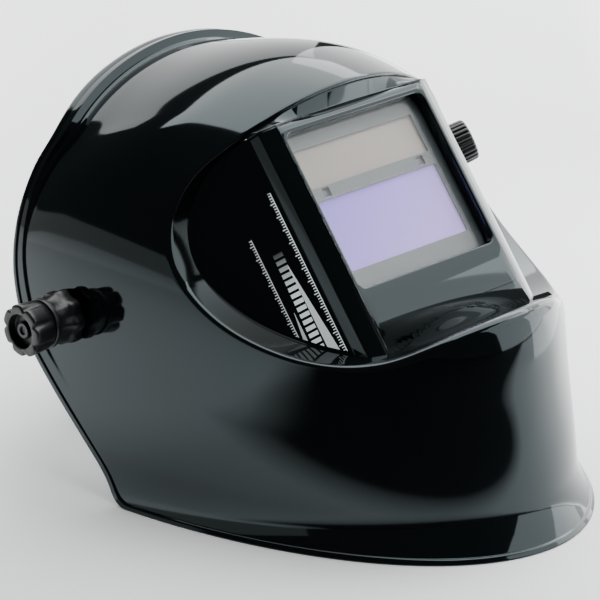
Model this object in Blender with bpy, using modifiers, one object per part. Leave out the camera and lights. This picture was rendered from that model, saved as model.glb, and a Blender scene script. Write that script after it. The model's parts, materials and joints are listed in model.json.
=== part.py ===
"""Welding helmet with an auto-darkening window, standing on its bottom rim.

+Z is up, the wearer looks along -Y, and +X is the wearer's left. Sizes are in millimetres and are
turned into metres when a mesh is made. The shell is a stack of half ellipses hollowed by its own
offset. A face recess is cut into it, and a window block with slanted sides is left standing there.
"""

import math

import bmesh
import bpy
import numpy as np
from mathutils import Matrix, Vector

MM = 0.001

# --- Driving dimensions, millimetres -----------------------------------------------------------
SHELL_WALL = 3.0
CROWN_HEIGHT = 237.5
RIM_HALF_WIDTH = 134.0          # at the widest, before the flare
CHIN_REACH = 117.0              # front of the chin, forward of the window's centre
FLARE_FRONT, FLARE_SIDE, FLARE_HEIGHT = 10.0, 4.0, 24.0
REAR_LIP_HEIGHT, REAR_LIP_DEPTH = 7.0, 11.0

WINDOW_HEIGHT = 175.0           # centre of the window opening above the rim
WINDOW_LEAN = 38.5              # degrees the window leans back
OPENING_W, OPENING_H, OPENING_RADIUS = 106.5, 94.0, 5.0
FACE_HALF_W = 57.0              # flat part of the window face
EDGE_HALF_W, EDGE_DROP = 65.5, 4.5      # its bevelled sides end here
SIDE_WALL_HALF_W, SIDE_WALL_DROP = 67.5, 12.5
PANEL_TURN = 53.5               # degrees the side panels are turned from the window face
PANEL_WIDTH = 110.0

CARTRIDGE_W, CARTRIDGE_H = 114.0, 101.0
CARTRIDGE_CASE_D, CARTRIDGE_BACK_D = 8.6, 1.6
VIEW_W, VIEW_H, VIEW_DROP = 92.0, 42.0, 13.9
SOLAR_W, SOLAR_H, SOLAR_RISE = 92.0, 23.0, 26.5
SENSOR_SIZE, SENSOR_SPREAD, SENSOR_RISE = 5.6, 37.0, 11.2
COLLAR_DEPTH = 6.6
COVER_LENS_T = 1.0
INNER_LENS_T = 1.0
LENS_MARGIN = 1.0               # the cover lens is this much smaller than the cartridge, each side
CARRIER_WALL = 3.0
CARRIER_SETBACK = 5.0           # clears the bevelled sides of the window block
RETAINER_D, RETAINER_BAR = 4.0, 9.0
RETAINER_TRAVEL = 25.0

PIVOT_Y, PIVOT_Z = 122.0, 102.0
BOSS_OUT, BOSS_IN = 132.0, 120.0        # flat faces of the pivot boss, from the middle plane
BOSS_RADIUS = 17.0
BOLT_RADIUS = 4.0
BOLT_CLEARANCE = 0.3
WASHER_T = 1.5
ARM_T, ARM_HEIGHT = 2.5, 22.0
SLOT_LENGTH, SLOT_HEIGHT = 30.0, 11.0
BLOCK_LENGTH = 13.0
COLLAR_RADIUS, COLLAR_LENGTH, COLLAR_LOBES = 16.0, 19.0, 8
KNOB_RADIUS, KNOB_LENGTH, KNOB_FLUTES = 15.0, 15.0, 7

HEADGEAR_TURN = 34.0            # degrees the headband's plane slopes down to the rear
HEAD_HALF_W, HEAD_FRONT, HEAD_REAR = 79.0, 97.0, 96.0
BAND_HEIGHT, BAND_T = 26.0, 1.8
TAIL_END, CRADLE_START, REAR_ARC_START = 48.0, 14.0, 52.0
PAD_T = 4.5
STRAP_WIDTH, STRAP_RISE, STRAP_LEAN = 22.0, 100.0, 16.0
RATCHET_W, RATCHET_D, RATCHET_H = 64.0, 11.0, 32.0
RATCHET_KNOB_RADIUS, RATCHET_KNOB_LENGTH = 17.0, 14.0

SHADE_KNOB_RADIUS, SHADE_KNOB_LENGTH = 11.5, 15.0
SHADE_KNOB_U, SHADE_KNOB_V = 24.0, 17.0     # place on the left side panel
POT_SIZE, POT_D = 17.0, 9.0
DECAL_T = 0.6
DECAL_MARGIN = 2.0              # kept clear of the recess's wall
GAP = 0.3                       # between pieces that touch

# Shell stations: height as a share of the crown's, and half width, front reach, rear reach and
# middle as shares of the rim's. Reaches are blended through their squares, so the crown is round.
STATIONS = np.array([
    # height  width  front  rear   middle
    [0.000, 1.000, 1.000, 1.000, 130.0],
    [0.170, 0.998, 0.975, 0.990, 129.0],
    [0.340, 0.980, 0.940, 0.970, 127.0],
    [0.505, 0.950, 0.895, 0.900, 122.0],
    [0.632, 0.905, 0.795, 0.800, 114.0],
    [0.758, 0.812, 0.640, 0.690, 106.0],
    [0.855, 0.672, 0.480, 0.560, 99.0],
    [0.922, 0.505, 0.352, 0.410, 94.0],
    [0.964, 0.345, 0.242, 0.280, 91.0],
    [1.000, 0.000, 0.000, 0.000, 89.0]])
REAR_REACH = 235.0

# Side views, as (y, z) in millimetres: the recess's edge, and the shell's open rear edge.
RECESS_EDGE = [(-140, 152), (-96, 131), (-62, 110.5), (-28, 107.5), (14, 118.5), (45, 138.5),
               (59, 163), (58, 188), (45, 211), (33, 229), (8, 262), (-60, 300)]
REAR_EDGE = [(70, -8), (80, 0), (92, 15), (112, 35), (136, 57), (158, 80), (173, 110), (178, 140),
             (177, 168), (174, 188), (181, 216), (188, 262)]
DECAL_OUTLINE = [(2, -72), (2, 48), (12, 49), (30, 43), (48, 31), (56, 14), (55, -10), (47, -33),
                 (33, -54), (16, -68)]

# --- Frames ------------------------------------------------------------------------------------
WINDOW = Matrix.Translation((0, 0, WINDOW_HEIGHT * MM)) @ Matrix.Rotation(
    math.radians(90 - WINDOW_LEAN), 4, 'X')
HEAD = Matrix.Translation((0, PIVOT_Y * MM, PIVOT_Z * MM)) @ Matrix.Rotation(
    math.radians(-HEADGEAR_TURN), 4, 'X')
STRAP = HEAD @ Matrix.Rotation(math.radians(STRAP_LEAN), 4, 'X')


def panel_frame(side):
    """Frame of a side panel: x runs outwards along it, y up the window, z out of it."""
    turn = math.radians(PANEL_TURN)
    across = Vector((math.cos(turn), 0, -math.sin(turn)))
    out = Vector((math.sin(turn), 0, math.cos(turn)))
    local = Matrix((across, Vector((0, 1, 0)), out)).transposed().to_4x4()
    local.translation = Vector((SIDE_WALL_HALF_W, 0, -SIDE_WALL_DROP)) * MM
    mirror = Matrix.Scale(side, 4, (1, 0, 0))
    return mirror @ WINDOW @ local


def pivot_frame(side):
    """Frame of a pivot: z runs outwards along the bolt from the middle plane."""
    return (Matrix.Translation((0, PIVOT_Y * MM, PIVOT_Z * MM))
            @ Matrix.Rotation(math.radians(90 * side), 4, 'Y'))


def aimed(place, direction):
    """Frame at a place of the head's frame in millimetres, with z along a level direction."""
    up = Vector((0, 0, 1))
    frame = Matrix((up, direction.cross(up), direction)).transposed().to_4x4()
    frame.translation = place * MM
    return frame


# --- Scene and helpers -------------------------------------------------------------------------
for old in list(bpy.data.objects):
    bpy.data.objects.remove(old)

parts = bpy.data.collections.new("welding_helmet")
cutters = bpy.data.collections.new("cutters")
bpy.context.scene.collection.children.link(parts)
bpy.context.scene.collection.children.link(cutters)
cutters.hide_render = True

COLOURS = {
    "shell_gloss_black": ((0.012, 0.014, 0.015), 0.12, 0.0),
    "decal_black": ((0.01, 0.01, 0.012), 0.35, 0.0),
    "clear_lens": ((0.85, 0.9, 0.9), 0.05, 0.0),
    "cartridge_grey": ((0.16, 0.18, 0.19), 0.45, 0.0),
    "filter_lavender": ((0.55, 0.42, 1.0), 0.15, 0.0),
    "solar_cell": ((0.38, 0.35, 0.30), 0.35, 0.0),
    "sensor_dark": ((0.05, 0.06, 0.06), 0.3, 0.0),
    "board_green": ((0.02, 0.16, 0.07), 0.5, 0.0),
    "steel": ((0.6, 0.6, 0.6), 0.3, 1.0),
    "knob_black": ((0.02, 0.024, 0.024), 0.45, 0.0),
    "headgear_black": ((0.03, 0.03, 0.032), 0.5, 0.0),
    "washer_nylon": ((0.7, 0.68, 0.62), 0.5, 0.0),
    "pad_fabric": ((0.05, 0.05, 0.055), 0.9, 0.0),
    "wire_black": ((0.015, 0.015, 0.015), 0.5, 0.0),
}
materials = {}
for slot, (colour, roughness, metallic) in COLOURS.items():
    material = bpy.data.materials.new(slot)
    material.use_nodes = True
    shader = material.node_tree.nodes["Principled BSDF"]
    shader.inputs["Base Color"].default_value = (*colour, 1)
    shader.inputs["Roughness"].default_value = roughness
    shader.inputs["Metallic"].default_value = metallic
    materials[slot] = material


def finish(name, mesh, slot=None, frame=Matrix()):
    """Makes an object of a mesh at a frame: a part where a slot is named, and else a cutter.

    A frame that mirrors is taken into the mesh, with its faces kept pointing out.
    """
    if frame.determinant() < 0:
        mesh.transform(frame)
        mesh.flip_normals()
        frame = Matrix()
    obj = bpy.data.objects.new(name, mesh)
    (parts if slot else cutters).objects.link(obj)
    obj.matrix_world = frame
    if slot:
        mesh.materials.append(materials[slot])
        mesh.shade_smooth()
        mesh.set_sharp_from_angle(angle=math.radians(35))
    else:
        obj.hide_render = True
        obj.display_type = 'WIRE'
    return obj


def loft(name, rings, slot=None, frame=Matrix()):
    """Closed solid through rings of as many points each; a one-point ring closes to a tip."""
    bm = bmesh.new()
    rows = [[bm.verts.new(Vector(point) * MM) for point in ring] for ring in rings]
    for low, high in zip(rows, rows[1:]):
        count = max(len(low), len(high))
        for i in range(count):
            j = (i + 1) % count
            corners = [low[i % len(low)], low[j % len(low)], high[j % len(high)], high[i % len(high)]]
            bm.faces.new(list(dict.fromkeys(corners)))
    for row in (rows[0], rows[-1]):
        if len(row) > 2:
            bm.faces.new(row)
    bmesh.ops.recalc_face_normals(bm, faces=bm.faces)
    mesh = bpy.data.meshes.new(name)
    bm.to_mesh(mesh)
    bm.free()
    return finish(name, mesh, slot, frame)


def box(name, low, high, slot=None, frame=Matrix(), bevel=0.0):
    """Box between two corners, with an optional rounded edge."""
    low, high = Vector(low), Vector(high)
    bm = bmesh.new()
    bmesh.ops.create_cube(bm, size=MM)
    bmesh.ops.scale(bm, vec=high - low, verts=bm.verts)
    bmesh.ops.translate(bm, vec=(low + high) / 2 * MM, verts=bm.verts)
    if bevel:
        bmesh.ops.bevel(bm, geom=bm.edges, offset=bevel * MM, segments=2, profile=0.5, affect='EDGES')
    mesh = bpy.data.meshes.new(name)
    bm.to_mesh(mesh)
    bm.free()
    return finish(name, mesh, slot, frame)


def plate(name, outlines, low, high, slot=None, frame=Matrix()):
    """Flat outline (the first one) with holes (the others), extruded from z = low to z = high."""
    curve = bpy.data.curves.new(name, 'CURVE')
    curve.dimensions = '2D'
    curve.fill_mode = 'BOTH'
    curve.extrude = (high - low) / 2 * MM
    for outline in outlines:
        spline = curve.splines.new('POLY')
        spline.points.add(len(outline) - 1)
        for point, (x, y) in zip(spline.points, outline):
            point.co = (x * MM, y * MM, 0, 1)
        spline.use_cyclic_u = True
    guide = bpy.data.objects.new(name + "_guide", curve)
    cutters.objects.link(guide)
    bpy.context.view_layer.update()
    mesh = bpy.data.meshes.new_from_object(guide.evaluated_get(bpy.context.evaluated_depsgraph_get()))
    bpy.data.objects.remove(guide)
    bm = bmesh.new()
    bm.from_mesh(mesh)
    bmesh.ops.remove_doubles(bm, verts=bm.verts, dist=0.00001)
    bmesh.ops.recalc_face_normals(bm, faces=bm.faces)
    bm.to_mesh(mesh)
    bm.free()
    mesh.materials.clear()
    mesh.transform(Matrix.Translation((0, 0, (low + high) / 2 * MM)))
    return finish(name, mesh, slot, frame)


def tube(name, points, radius, slot, frame=Matrix()):
    """Round wire through points of a frame."""
    curve = bpy.data.curves.new(name, 'CURVE')
    curve.dimensions = '3D'
    curve.bevel_depth = radius * MM
    curve.bevel_resolution = 2
    curve.use_fill_caps = True
    spline = curve.splines.new('POLY')
    spline.points.add(len(points) - 1)
    for point, place in zip(spline.points, points):
        point.co = (*(Vector(place) * MM), 1)
    curve.materials.append(materials[slot])
    obj = bpy.data.objects.new(name, curve)
    parts.objects.link(obj)
    obj.matrix_world = frame
    return obj


def turned(name, profile, slot=None, frame=Matrix(), steps=32):
    """Solid turned about z from a profile of (radius, z), listed from top to bottom."""
    mesh = bpy.data.meshes.new(name)
    points = [(radius * MM, 0, z * MM) for radius, z in profile]
    closed = profile[0][0] > 0
    edges = [(i, i + 1) for i in range(len(points) - 1)] + ([(len(points) - 1, 0)] if closed else [])
    mesh.from_pydata(points, edges, [])
    obj = finish(name, mesh, slot, frame)
    screw = obj.modifiers.new("turn", 'SCREW')
    screw.axis = 'Z'
    screw.steps = screw.render_steps = steps
    screw.use_merge_vertices = True
    screw.merge_threshold = 0.00001
    screw.use_smooth_shade = False
    return obj


def rod(name, radius, low, high, slot=None, frame=Matrix(), steps=24):
    """Plain cylinder along z."""
    return turned(name, [(0, high), (radius, high), (radius, low), (0, low)], slot, frame, steps)


def boolean(target, other, operation='DIFFERENCE'):
    """Cuts or joins with a Boolean, and keeps the other object out of the part."""
    modifier = target.modifiers.new(other.name, 'BOOLEAN')
    modifier.object = other
    modifier.operation = operation
    modifier.solver = 'EXACT'
    return target


def join(target, other):
    """Joins a helper object to the target."""
    return boolean(target, other, 'UNION')


# --- Outlines ----------------------------------------------------------------------------------
def smooth(points, steps, cyclic=False):
    """Catmull-Rom curve through points, with a number of steps to each stretch."""
    p = np.array(points, float)
    before, after = (p[-1:], p[:2]) if cyclic else (2 * p[:1] - p[1:2], 2 * p[-1:] - p[-2:-1])
    q = np.concatenate([before, p, after])
    t = np.linspace(0, 1, steps, endpoint=False)[:, None]
    stretches = [0.5 * (2 * b + (c - a) * t + (2 * a - 5 * b + 4 * c - d) * t ** 2
                        + (3 * b - a - 3 * c + d) * t ** 3)
                 for a, b, c, d in zip(q, q[1:], q[2:], q[3:])]
    return np.concatenate(stretches + ([] if cyclic else [p[-1:]]))


def offset_line(points, distance):
    """Moves an open line sideways, to its left for a positive distance."""
    p = np.array(points, float)
    along = np.gradient(p, axis=0)
    along /= np.linalg.norm(along, axis=1, keepdims=True)
    return p + distance * np.stack([-along[:, 1], along[:, 0]], 1)


def rounded_rectangle(width, height, radius, middle=(0, 0), steps=4):
    """Rectangle with round corners, anticlockwise."""
    corners = []
    for quarter, (sx, sy) in enumerate([(1, 1), (-1, 1), (-1, -1), (1, -1)]):
        for a in np.linspace(0, math.pi / 2, steps + 1) + quarter * math.pi / 2:
            corners.append((middle[0] + sx * (width / 2 - radius) + radius * math.cos(a),
                            middle[1] + sy * (height / 2 - radius) + radius * math.sin(a)))
    return corners


def lobed_ring(radius, depth, lobes, z, turn=0.0, count=56):
    """Round outline whose radius dips between its lobes, at a height z."""
    a = np.linspace(0, 2 * math.pi, count, endpoint=False)
    wave = np.abs(np.sin((a + turn) * lobes / 2)) ** 0.6
    r = radius - depth * (1 - wave)
    return np.stack([r * np.cos(a), r * np.sin(a), np.full(count, z)], 1)


def strip(path, thickness):
    """Outline of a strap of even thickness along an open path, on the path's right."""
    return np.concatenate([path, offset_line(path, -thickness)[::-1]])


# --- Shell -------------------------------------------------------------------------------------
def station(height):
    """Half width, front reach, rear reach and middle of the shell at a height."""
    t = np.clip(height / CROWN_HEIGHT, 0, 1)
    squares = [np.interp(t, STATIONS[:, 0], STATIONS[:, k] ** 2) for k in (1, 2, 3)]
    width, front, rear = (math.sqrt(max(s, 0)) for s in squares)
    middle = np.interp(t, STATIONS[:, 0], STATIONS[:, 4])
    flare = max(0.0, 1 - height / FLARE_HEIGHT) ** 2
    reach = CHIN_REACH + STATIONS[0, 4]
    return (RIM_HALF_WIDTH * width + FLARE_SIDE * flare,
            reach * front + FLARE_FRONT * flare, REAR_REACH * rear, middle)


def shell_rings(heights, count=60):
    """Closed half-ellipse rings of the shell's outer surface."""
    a = np.linspace(0, 2 * math.pi, count, endpoint=False)
    rings = []
    for height in heights:
        width, front, rear, middle = station(height)
        reach = np.where(np.cos(a) > 0, front, rear)
        rings.append(np.stack([width * np.sin(a), middle - reach * np.cos(a),
                               np.full(count, height)], 1))
    return np.array(rings)


def offset_rings(rings, distance):
    """Moves rings along the surface's outward normals."""
    along = np.roll(rings, -1, 1) - np.roll(rings, 1, 1)
    up = np.gradient(rings, axis=0)
    normal = np.cross(along, up)
    normal /= np.linalg.norm(normal, axis=2, keepdims=True)
    return rings + distance * normal


CROWN_STEPS = [0.0, 0.012, 0.03, 0.055, 0.1, 0.17, 0.25, 0.34, 0.42, 0.5, 0.57, 0.64, 0.7, 0.76,
               0.81, 0.855, 0.895, 0.93, 0.957, 0.98, 0.995]
HEIGHTS = [share * CROWN_HEIGHT for share in CROWN_STEPS]


def dome(name, offset, bottom, slot=None):
    """Closed solid inside the shell's surface moved by an offset, from the height bottom up."""
    rings = offset_rings(shell_rings(HEIGHTS), offset)
    rings[0][:, 2] = bottom
    tip = [(0, STATIONS[-1, 4], CROWN_HEIGHT + offset)]
    return loft(name, [*rings, tip], slot)


def side_prism(name, line, half_width):
    """Solid behind a side-view line, between two planes of x; the line closes on itself."""
    turn = Matrix(((0, 0, 1, 0), (1, 0, 0, 0), (0, 1, 0, 0), (0, 0, 0, 1)))
    return plate(name, [line], -half_width, half_width, frame=turn)


def face_block(name, inset):
    """Window block: a prism up the window's plane, with bevelled edges and slanted sides."""
    turn = math.radians(PANEL_TURN)
    far_x = SIDE_WALL_HALF_W + PANEL_WIDTH * math.cos(turn)
    far_z = -SIDE_WALL_DROP - PANEL_WIDTH * math.sin(turn)
    half = [(0, 0), (FACE_HALF_W, 0), (EDGE_HALF_W, -EDGE_DROP),
            (SIDE_WALL_HALF_W, -SIDE_WALL_DROP), (far_x, far_z)]
    half = offset_line(half, -inset)
    half[0] = (0, -inset)
    outline = [(x, z) for x, z in half] + [(half[-1][0], -200), (-half[-1][0], -200)]
    outline += [(-x, z) for x, z in half[:0:-1]]
    rings = [[(x, v, z) for x, z in outline] for v in (-190, 190)]
    return loft(name, rings, frame=WINDOW)


def recess_line(offset):
    """Closed side-view outline of the recess, its edge line moved outwards by an offset."""
    line = offset_line(smooth(RECESS_EDGE, 5), -offset)
    return [*map(tuple, line), (-260, 320), (-260, 152)]


def face_recess(name, offset):
    """Space cut out of the shell's front: all that lies before the recess's edge line."""
    recess = side_prism(name, recess_line(offset), 200)
    return boolean(recess, face_block(name + "_block", offset))


shell = dome("shell", 0.0, 0.0, "shell_gloss_black")
lip = dome("lip_raised", REAR_LIP_HEIGHT, 0.0)
rear_line = smooth(REAR_EDGE, 4)
lip_line = np.concatenate([rear_line, offset_line(rear_line, REAR_LIP_DEPTH)[::-1]])
boolean(lip, side_prism("lip_band", lip_line, 200), 'INTERSECT')
boolean(lip, box("lip_low_cut", (-200, 0, -50), (200, 300, 176)))
join(shell, lip)
boolean(shell, face_recess("recess", 0.0))

hollow = dome("hollow", -SHELL_WALL, -12.0)
boolean(hollow, face_recess("hollow_recess", SHELL_WALL))
boolean(shell, hollow)
rear_space = [*map(tuple, rear_line), (420, 262), (420, -8)]
boolean(shell, side_prism("rear_space", rear_space, 200))

collar_w, collar_h = OPENING_W + 5.0, OPENING_H + 5.0
join(shell, plate("lens_collar", [rounded_rectangle(collar_w, collar_h, OPENING_RADIUS + 2)],
                  -COLLAR_DEPTH, -1.0, frame=WINDOW))
boolean(shell, plate("window_opening", [rounded_rectangle(OPENING_W, OPENING_H, OPENING_RADIUS)],
                     -30, 20, frame=WINDOW))

for side, hand in ((1, "left"), (-1, "right")):
    frame = pivot_frame(side)
    join(shell, rod("boss_" + hand, BOSS_RADIUS, BOSS_IN, BOSS_OUT, frame=frame, steps=32))
    boolean(shell, rod("pivot_hole_" + hand, BOLT_RADIUS + BOLT_CLEARANCE, BOSS_IN - 20,
                       BOSS_OUT + 20, frame=frame))

LEFT_PANEL = panel_frame(1)
SHADE = LEFT_PANEL @ Matrix.Translation((SHADE_KNOB_U * MM, SHADE_KNOB_V * MM, 0))
boolean(shell, rod("shade_hole", 3.6, -12, 12, frame=SHADE))

# --- Side panel decals -------------------------------------------------------------------------
for side, hand in ((1, "left"), (-1, "right")):
    outline = smooth(DECAL_OUTLINE[2:], 3)
    outline = [DECAL_OUTLINE[0], DECAL_OUTLINE[1], *map(tuple, outline)][::-1]
    decal = plate("decal_" + hand, [outline], GAP, GAP + DECAL_T, "decal_black", panel_frame(side))
    boolean(decal, side_prism("decal_trim_" + hand, recess_line(-DECAL_MARGIN), 200), 'INTERSECT')
    if side > 0:
        boolean(decal, rod("decal_hole", SHADE_KNOB_RADIUS + 2.0, -5, 5, frame=SHADE))

# --- Window stack, in the window's frame (z out of the window) ---------------------------------
lens_z = -COLLAR_DEPTH - GAP
case_z = lens_z - COVER_LENS_T - GAP
back_z = case_z - CARTRIDGE_CASE_D - GAP
inner_z = back_z - CARTRIDGE_BACK_D - GAP
frame_z = inner_z - INNER_LENS_T - GAP
lip_z = frame_z - RETAINER_D - GAP
carrier_top = -SHELL_WALL - CARRIER_SETBACK
carrier_end = lip_z - 2.0
carrier_w = CARTRIDGE_W + 1.0
carrier_h = CARTRIDGE_H + 1.0

plate("front_cover_lens",
      [rounded_rectangle(CARTRIDGE_W - 2 * LENS_MARGIN, CARTRIDGE_H - 2 * LENS_MARGIN, 3)],
      lens_z - COVER_LENS_T, lens_z, "clear_lens", WINDOW)

view = rounded_rectangle(VIEW_W, VIEW_H, 0.6, (0, -VIEW_DROP), 1)
solar = rounded_rectangle(SOLAR_W, SOLAR_H, 0.6, (0, SOLAR_RISE), 1)
sensors = [rounded_rectangle(SENSOR_SIZE, SENSOR_SIZE, 0.6, (s * SENSOR_SPREAD, SENSOR_RISE), 1)
           for s in (-1, 1)]
FACE_T, CASE_WALL = 1.4, 2.0
case = plate("cartridge_case",
             [rounded_rectangle(CARTRIDGE_W, CARTRIDGE_H, 3), view, solar, *sensors],
             case_z - CARTRIDGE_CASE_D, case_z, "cartridge_grey", WINDOW)
boolean(case, box("case_pocket",
                  (-CARTRIDGE_W / 2 + CASE_WALL, -CARTRIDGE_H / 2 + CASE_WALL,
                   case_z - CARTRIDGE_CASE_D - 5),
                  (CARTRIDGE_W / 2 - CASE_WALL, CARTRIDGE_H / 2 - CASE_WALL, case_z - FACE_T),
                  frame=WINDOW))
behind = case_z - FACE_T - GAP
plate("filter_glass", [rounded_rectangle(VIEW_W + 5, VIEW_H + 4, 1, (0, -VIEW_DROP), 1)],
      behind - 4.0, behind, "filter_lavender", WINDOW)
plate("solar_cell", [rounded_rectangle(SOLAR_W + 3, SOLAR_H + 3, 1, (0, SOLAR_RISE), 1)],
      behind - 1.0, behind, "solar_cell", WINDOW)
for s, hand in ((1, "left"), (-1, "right")):
    plate("arc_sensor_" + hand,
          [rounded_rectangle(SENSOR_SIZE + 1, SENSOR_SIZE - 2.2, 0.5,
                             (s * SENSOR_SPREAD, SENSOR_RISE + 0.1), 1)],
          behind - 2.5, behind, "sensor_dark", WINDOW)
board_z = behind - 4.0 - GAP
BATTERY_R, BATTERY_T, BATTERY_U, BATTERY_V = 8.0, 1.4, 30.0, 33.0
plate("circuit_board", [rounded_rectangle(104, 38, 1, (0, 29), 1)],
      board_z - 1.0, board_z, "board_green", WINDOW)
battery_frame = WINDOW @ Matrix.Translation((BATTERY_U * MM, BATTERY_V * MM, 0))
rod("battery", BATTERY_R, board_z - 1.0 - GAP - BATTERY_T + 0.6, board_z - 1.0 - GAP, "steel",
    battery_frame)

DIAL_U, DIAL_V, DIAL_R = -22.0, 32.0, 6.5
SWITCH_U, SWITCH_V, SWITCH_TRAVEL = 4.0, 32.0, 5.0
back = plate("cartridge_back",
             [rounded_rectangle(CARTRIDGE_W, CARTRIDGE_H, 3), view,
              rounded_rectangle(2 * DIAL_R + 1, 2 * DIAL_R + 1, DIAL_R + 0.4, (DIAL_U, DIAL_V)),
              rounded_rectangle(5.0 + SWITCH_TRAVEL, 5.0, 0.6, (SWITCH_U, SWITCH_V), 1)],
             back_z - CARTRIDGE_BACK_D, back_z, "cartridge_grey", WINDOW)
dial_frame = WINDOW @ Matrix.Translation((DIAL_U * MM, DIAL_V * MM, 0))
dial = loft("sensitivity_dial",
            [lobed_ring(DIAL_R, 0.6, 12, z, count=48) for z in (inner_z - 1.0, board_z - 1.0 - GAP)],
            "knob_black", dial_frame)
boolean(dial, box("dial_slot", (-4, -0.6, inner_z - 3), (4, 0.6, inner_z - 0.2), frame=dial_frame))
box("delay_switch", (SWITCH_U - 0.5 * SWITCH_TRAVEL - 2.2, SWITCH_V - 2.2, inner_z - 1.0),
    (SWITCH_U - 0.5 * SWITCH_TRAVEL + 2.2, SWITCH_V + 2.2, board_z - 1.0 - GAP), "knob_black", WINDOW)

plate("inner_cover_lens", [rounded_rectangle(CARTRIDGE_W - 8, VIEW_H + 12, 1, (0, -VIEW_DROP), 1)],
      inner_z - INNER_LENS_T, inner_z, "clear_lens", WINDOW)

retainer = plate("retaining_frame",
                 [rounded_rectangle(CARTRIDGE_W - 1, CARTRIDGE_H - 1, 3),
                  rounded_rectangle(CARTRIDGE_W - 1 - 2 * RETAINER_BAR,
                                    CARTRIDGE_H - 1 - 2 * RETAINER_BAR, 2)],
                 frame_z - RETAINER_D, frame_z, "headgear_black", WINDOW)
join(retainer, box("retainer_tab", (-14, -CARTRIDGE_H / 2 + 2, frame_z - RETAINER_D - 4),
                   (14, -CARTRIDGE_H / 2 + 5, frame_z - 1), frame=WINDOW))

carrier = plate("lens_carrier",
                [rounded_rectangle(carrier_w + 2 * CARRIER_WALL, carrier_h + 2 * CARRIER_WALL, 4)],
                carrier_end, carrier_top, "headgear_black", WINDOW)
boolean(carrier, plate("carrier_room", [rounded_rectangle(carrier_w, carrier_h, 3)],
                       carrier_end - 5, carrier_top + 5, frame=WINDOW))
LIP_REACH = 5.0
for s in (-1, 1):
    low, high = sorted((s * (carrier_w / 2 + 1), s * (carrier_w / 2 - LIP_REACH)))
    join(carrier, box("carrier_lip", (low, -carrier_h / 2 - 1, carrier_end + 0.25),
                      (high, carrier_h / 2 + 1, lip_z), frame=WINDOW))
gate_half = carrier_w / 2 - 0.4
boolean(carrier, box("retainer_gate", (-gate_half, -carrier_h / 2 - 20, lip_z - 9),
                     (gate_half, -carrier_h / 2 + 1.4, frame_z + GAP), frame=WINDOW))
LEAD_X, LEAD_Z = 44.0, case_z - 3.0
boolean(carrier, box("lead_notch", (LEAD_X - 4, carrier_h / 2 - 2, LEAD_Z - 3),
                     (LEAD_X + 4, carrier_h / 2 + 9, LEAD_Z + 3), frame=WINDOW))

# --- Shade control on the left panel -----------------------------------------------------------
knob_base = GAP
knob_top = knob_base + SHADE_KNOB_LENGTH
knob = loft("shade_knob",
            [lobed_ring(SHADE_KNOB_RADIUS + 1.0, 0.0, 20, knob_base, count=80),
             lobed_ring(SHADE_KNOB_RADIUS + 1.0, 0.0, 20, knob_base + 2, count=80),
             lobed_ring(SHADE_KNOB_RADIUS, 0.7, 20, knob_base + 2.6, count=80),
             lobed_ring(SHADE_KNOB_RADIUS - 0.4, 0.7, 20, knob_top - 1.2, count=80),
             lobed_ring(SHADE_KNOB_RADIUS - 1.6, 0.3, 20, knob_top, count=80)],
            "knob_black", SHADE)
SHAFT_R = 3.0
NUT_R, NUT_T = 6.0, 2.4
boolean(knob, rod("knob_bore", SHAFT_R + GAP, knob_base - 5, knob_top - 4, frame=SHADE))
boolean(knob, rod("nut_room", NUT_R + 1.2, knob_base - 5, knob_base + NUT_T + 2 * GAP, frame=SHADE))
nut = rod("potentiometer_nut", NUT_R, knob_base, knob_base + NUT_T, "steel", SHADE, steps=6)
boolean(nut, rod("nut_bore", SHAFT_R + GAP, knob_base - 5, knob_base + 10, frame=SHADE))
pot_face = -SHELL_WALL - GAP
pot = box("potentiometer", (-POT_SIZE / 2, -POT_SIZE / 2, pot_face - POT_D),
          (POT_SIZE / 2, POT_SIZE / 2, pot_face), "steel", SHADE, 0.6)
join(pot, rod("pot_shaft", SHAFT_R, pot_face - 1, knob_top - 4 - GAP, frame=SHADE))

# The lead runs from the potentiometer's top edge, over the carrier, to the top of the cartridge.
LEAD_R = 1.2
pot_middle = SHADE @ Vector((0, POT_SIZE / 2 * MM, (pot_face - POT_D / 2) * MM))
lead_start = WINDOW.inverted() @ pot_middle / MM + Vector((0, GAP, 0))
lead_route = [lead_start, lead_start + Vector((0, 7, 0)), (72, 46, -32), (65, 56, -25), (55, 60, -16.5),
              (47.5, 59, -12), (LEAD_X, carrier_h / 2 + 3.5, LEAD_Z),
              (LEAD_X, CARTRIDGE_H / 2 + GAP, LEAD_Z)]
tube("shade_lead", smooth([tuple(point) for point in lead_route], 4), LEAD_R, "wire_black", WINDOW)

# --- Pivots ------------------------------------------------------------------------------------
arm_out = BOSS_IN - GAP - WASHER_T - GAP
arm_in = arm_out - ARM_T
collar_low = BOSS_OUT + GAP
collar_high = collar_low + COLLAR_LENGTH
knob_low = collar_high + GAP
knob_high = knob_low + KNOB_LENGTH
bolt_end = knob_low + 9.0
BOLT_HEAD_R, BOLT_HEAD_T = 9.0, 3.5

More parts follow.
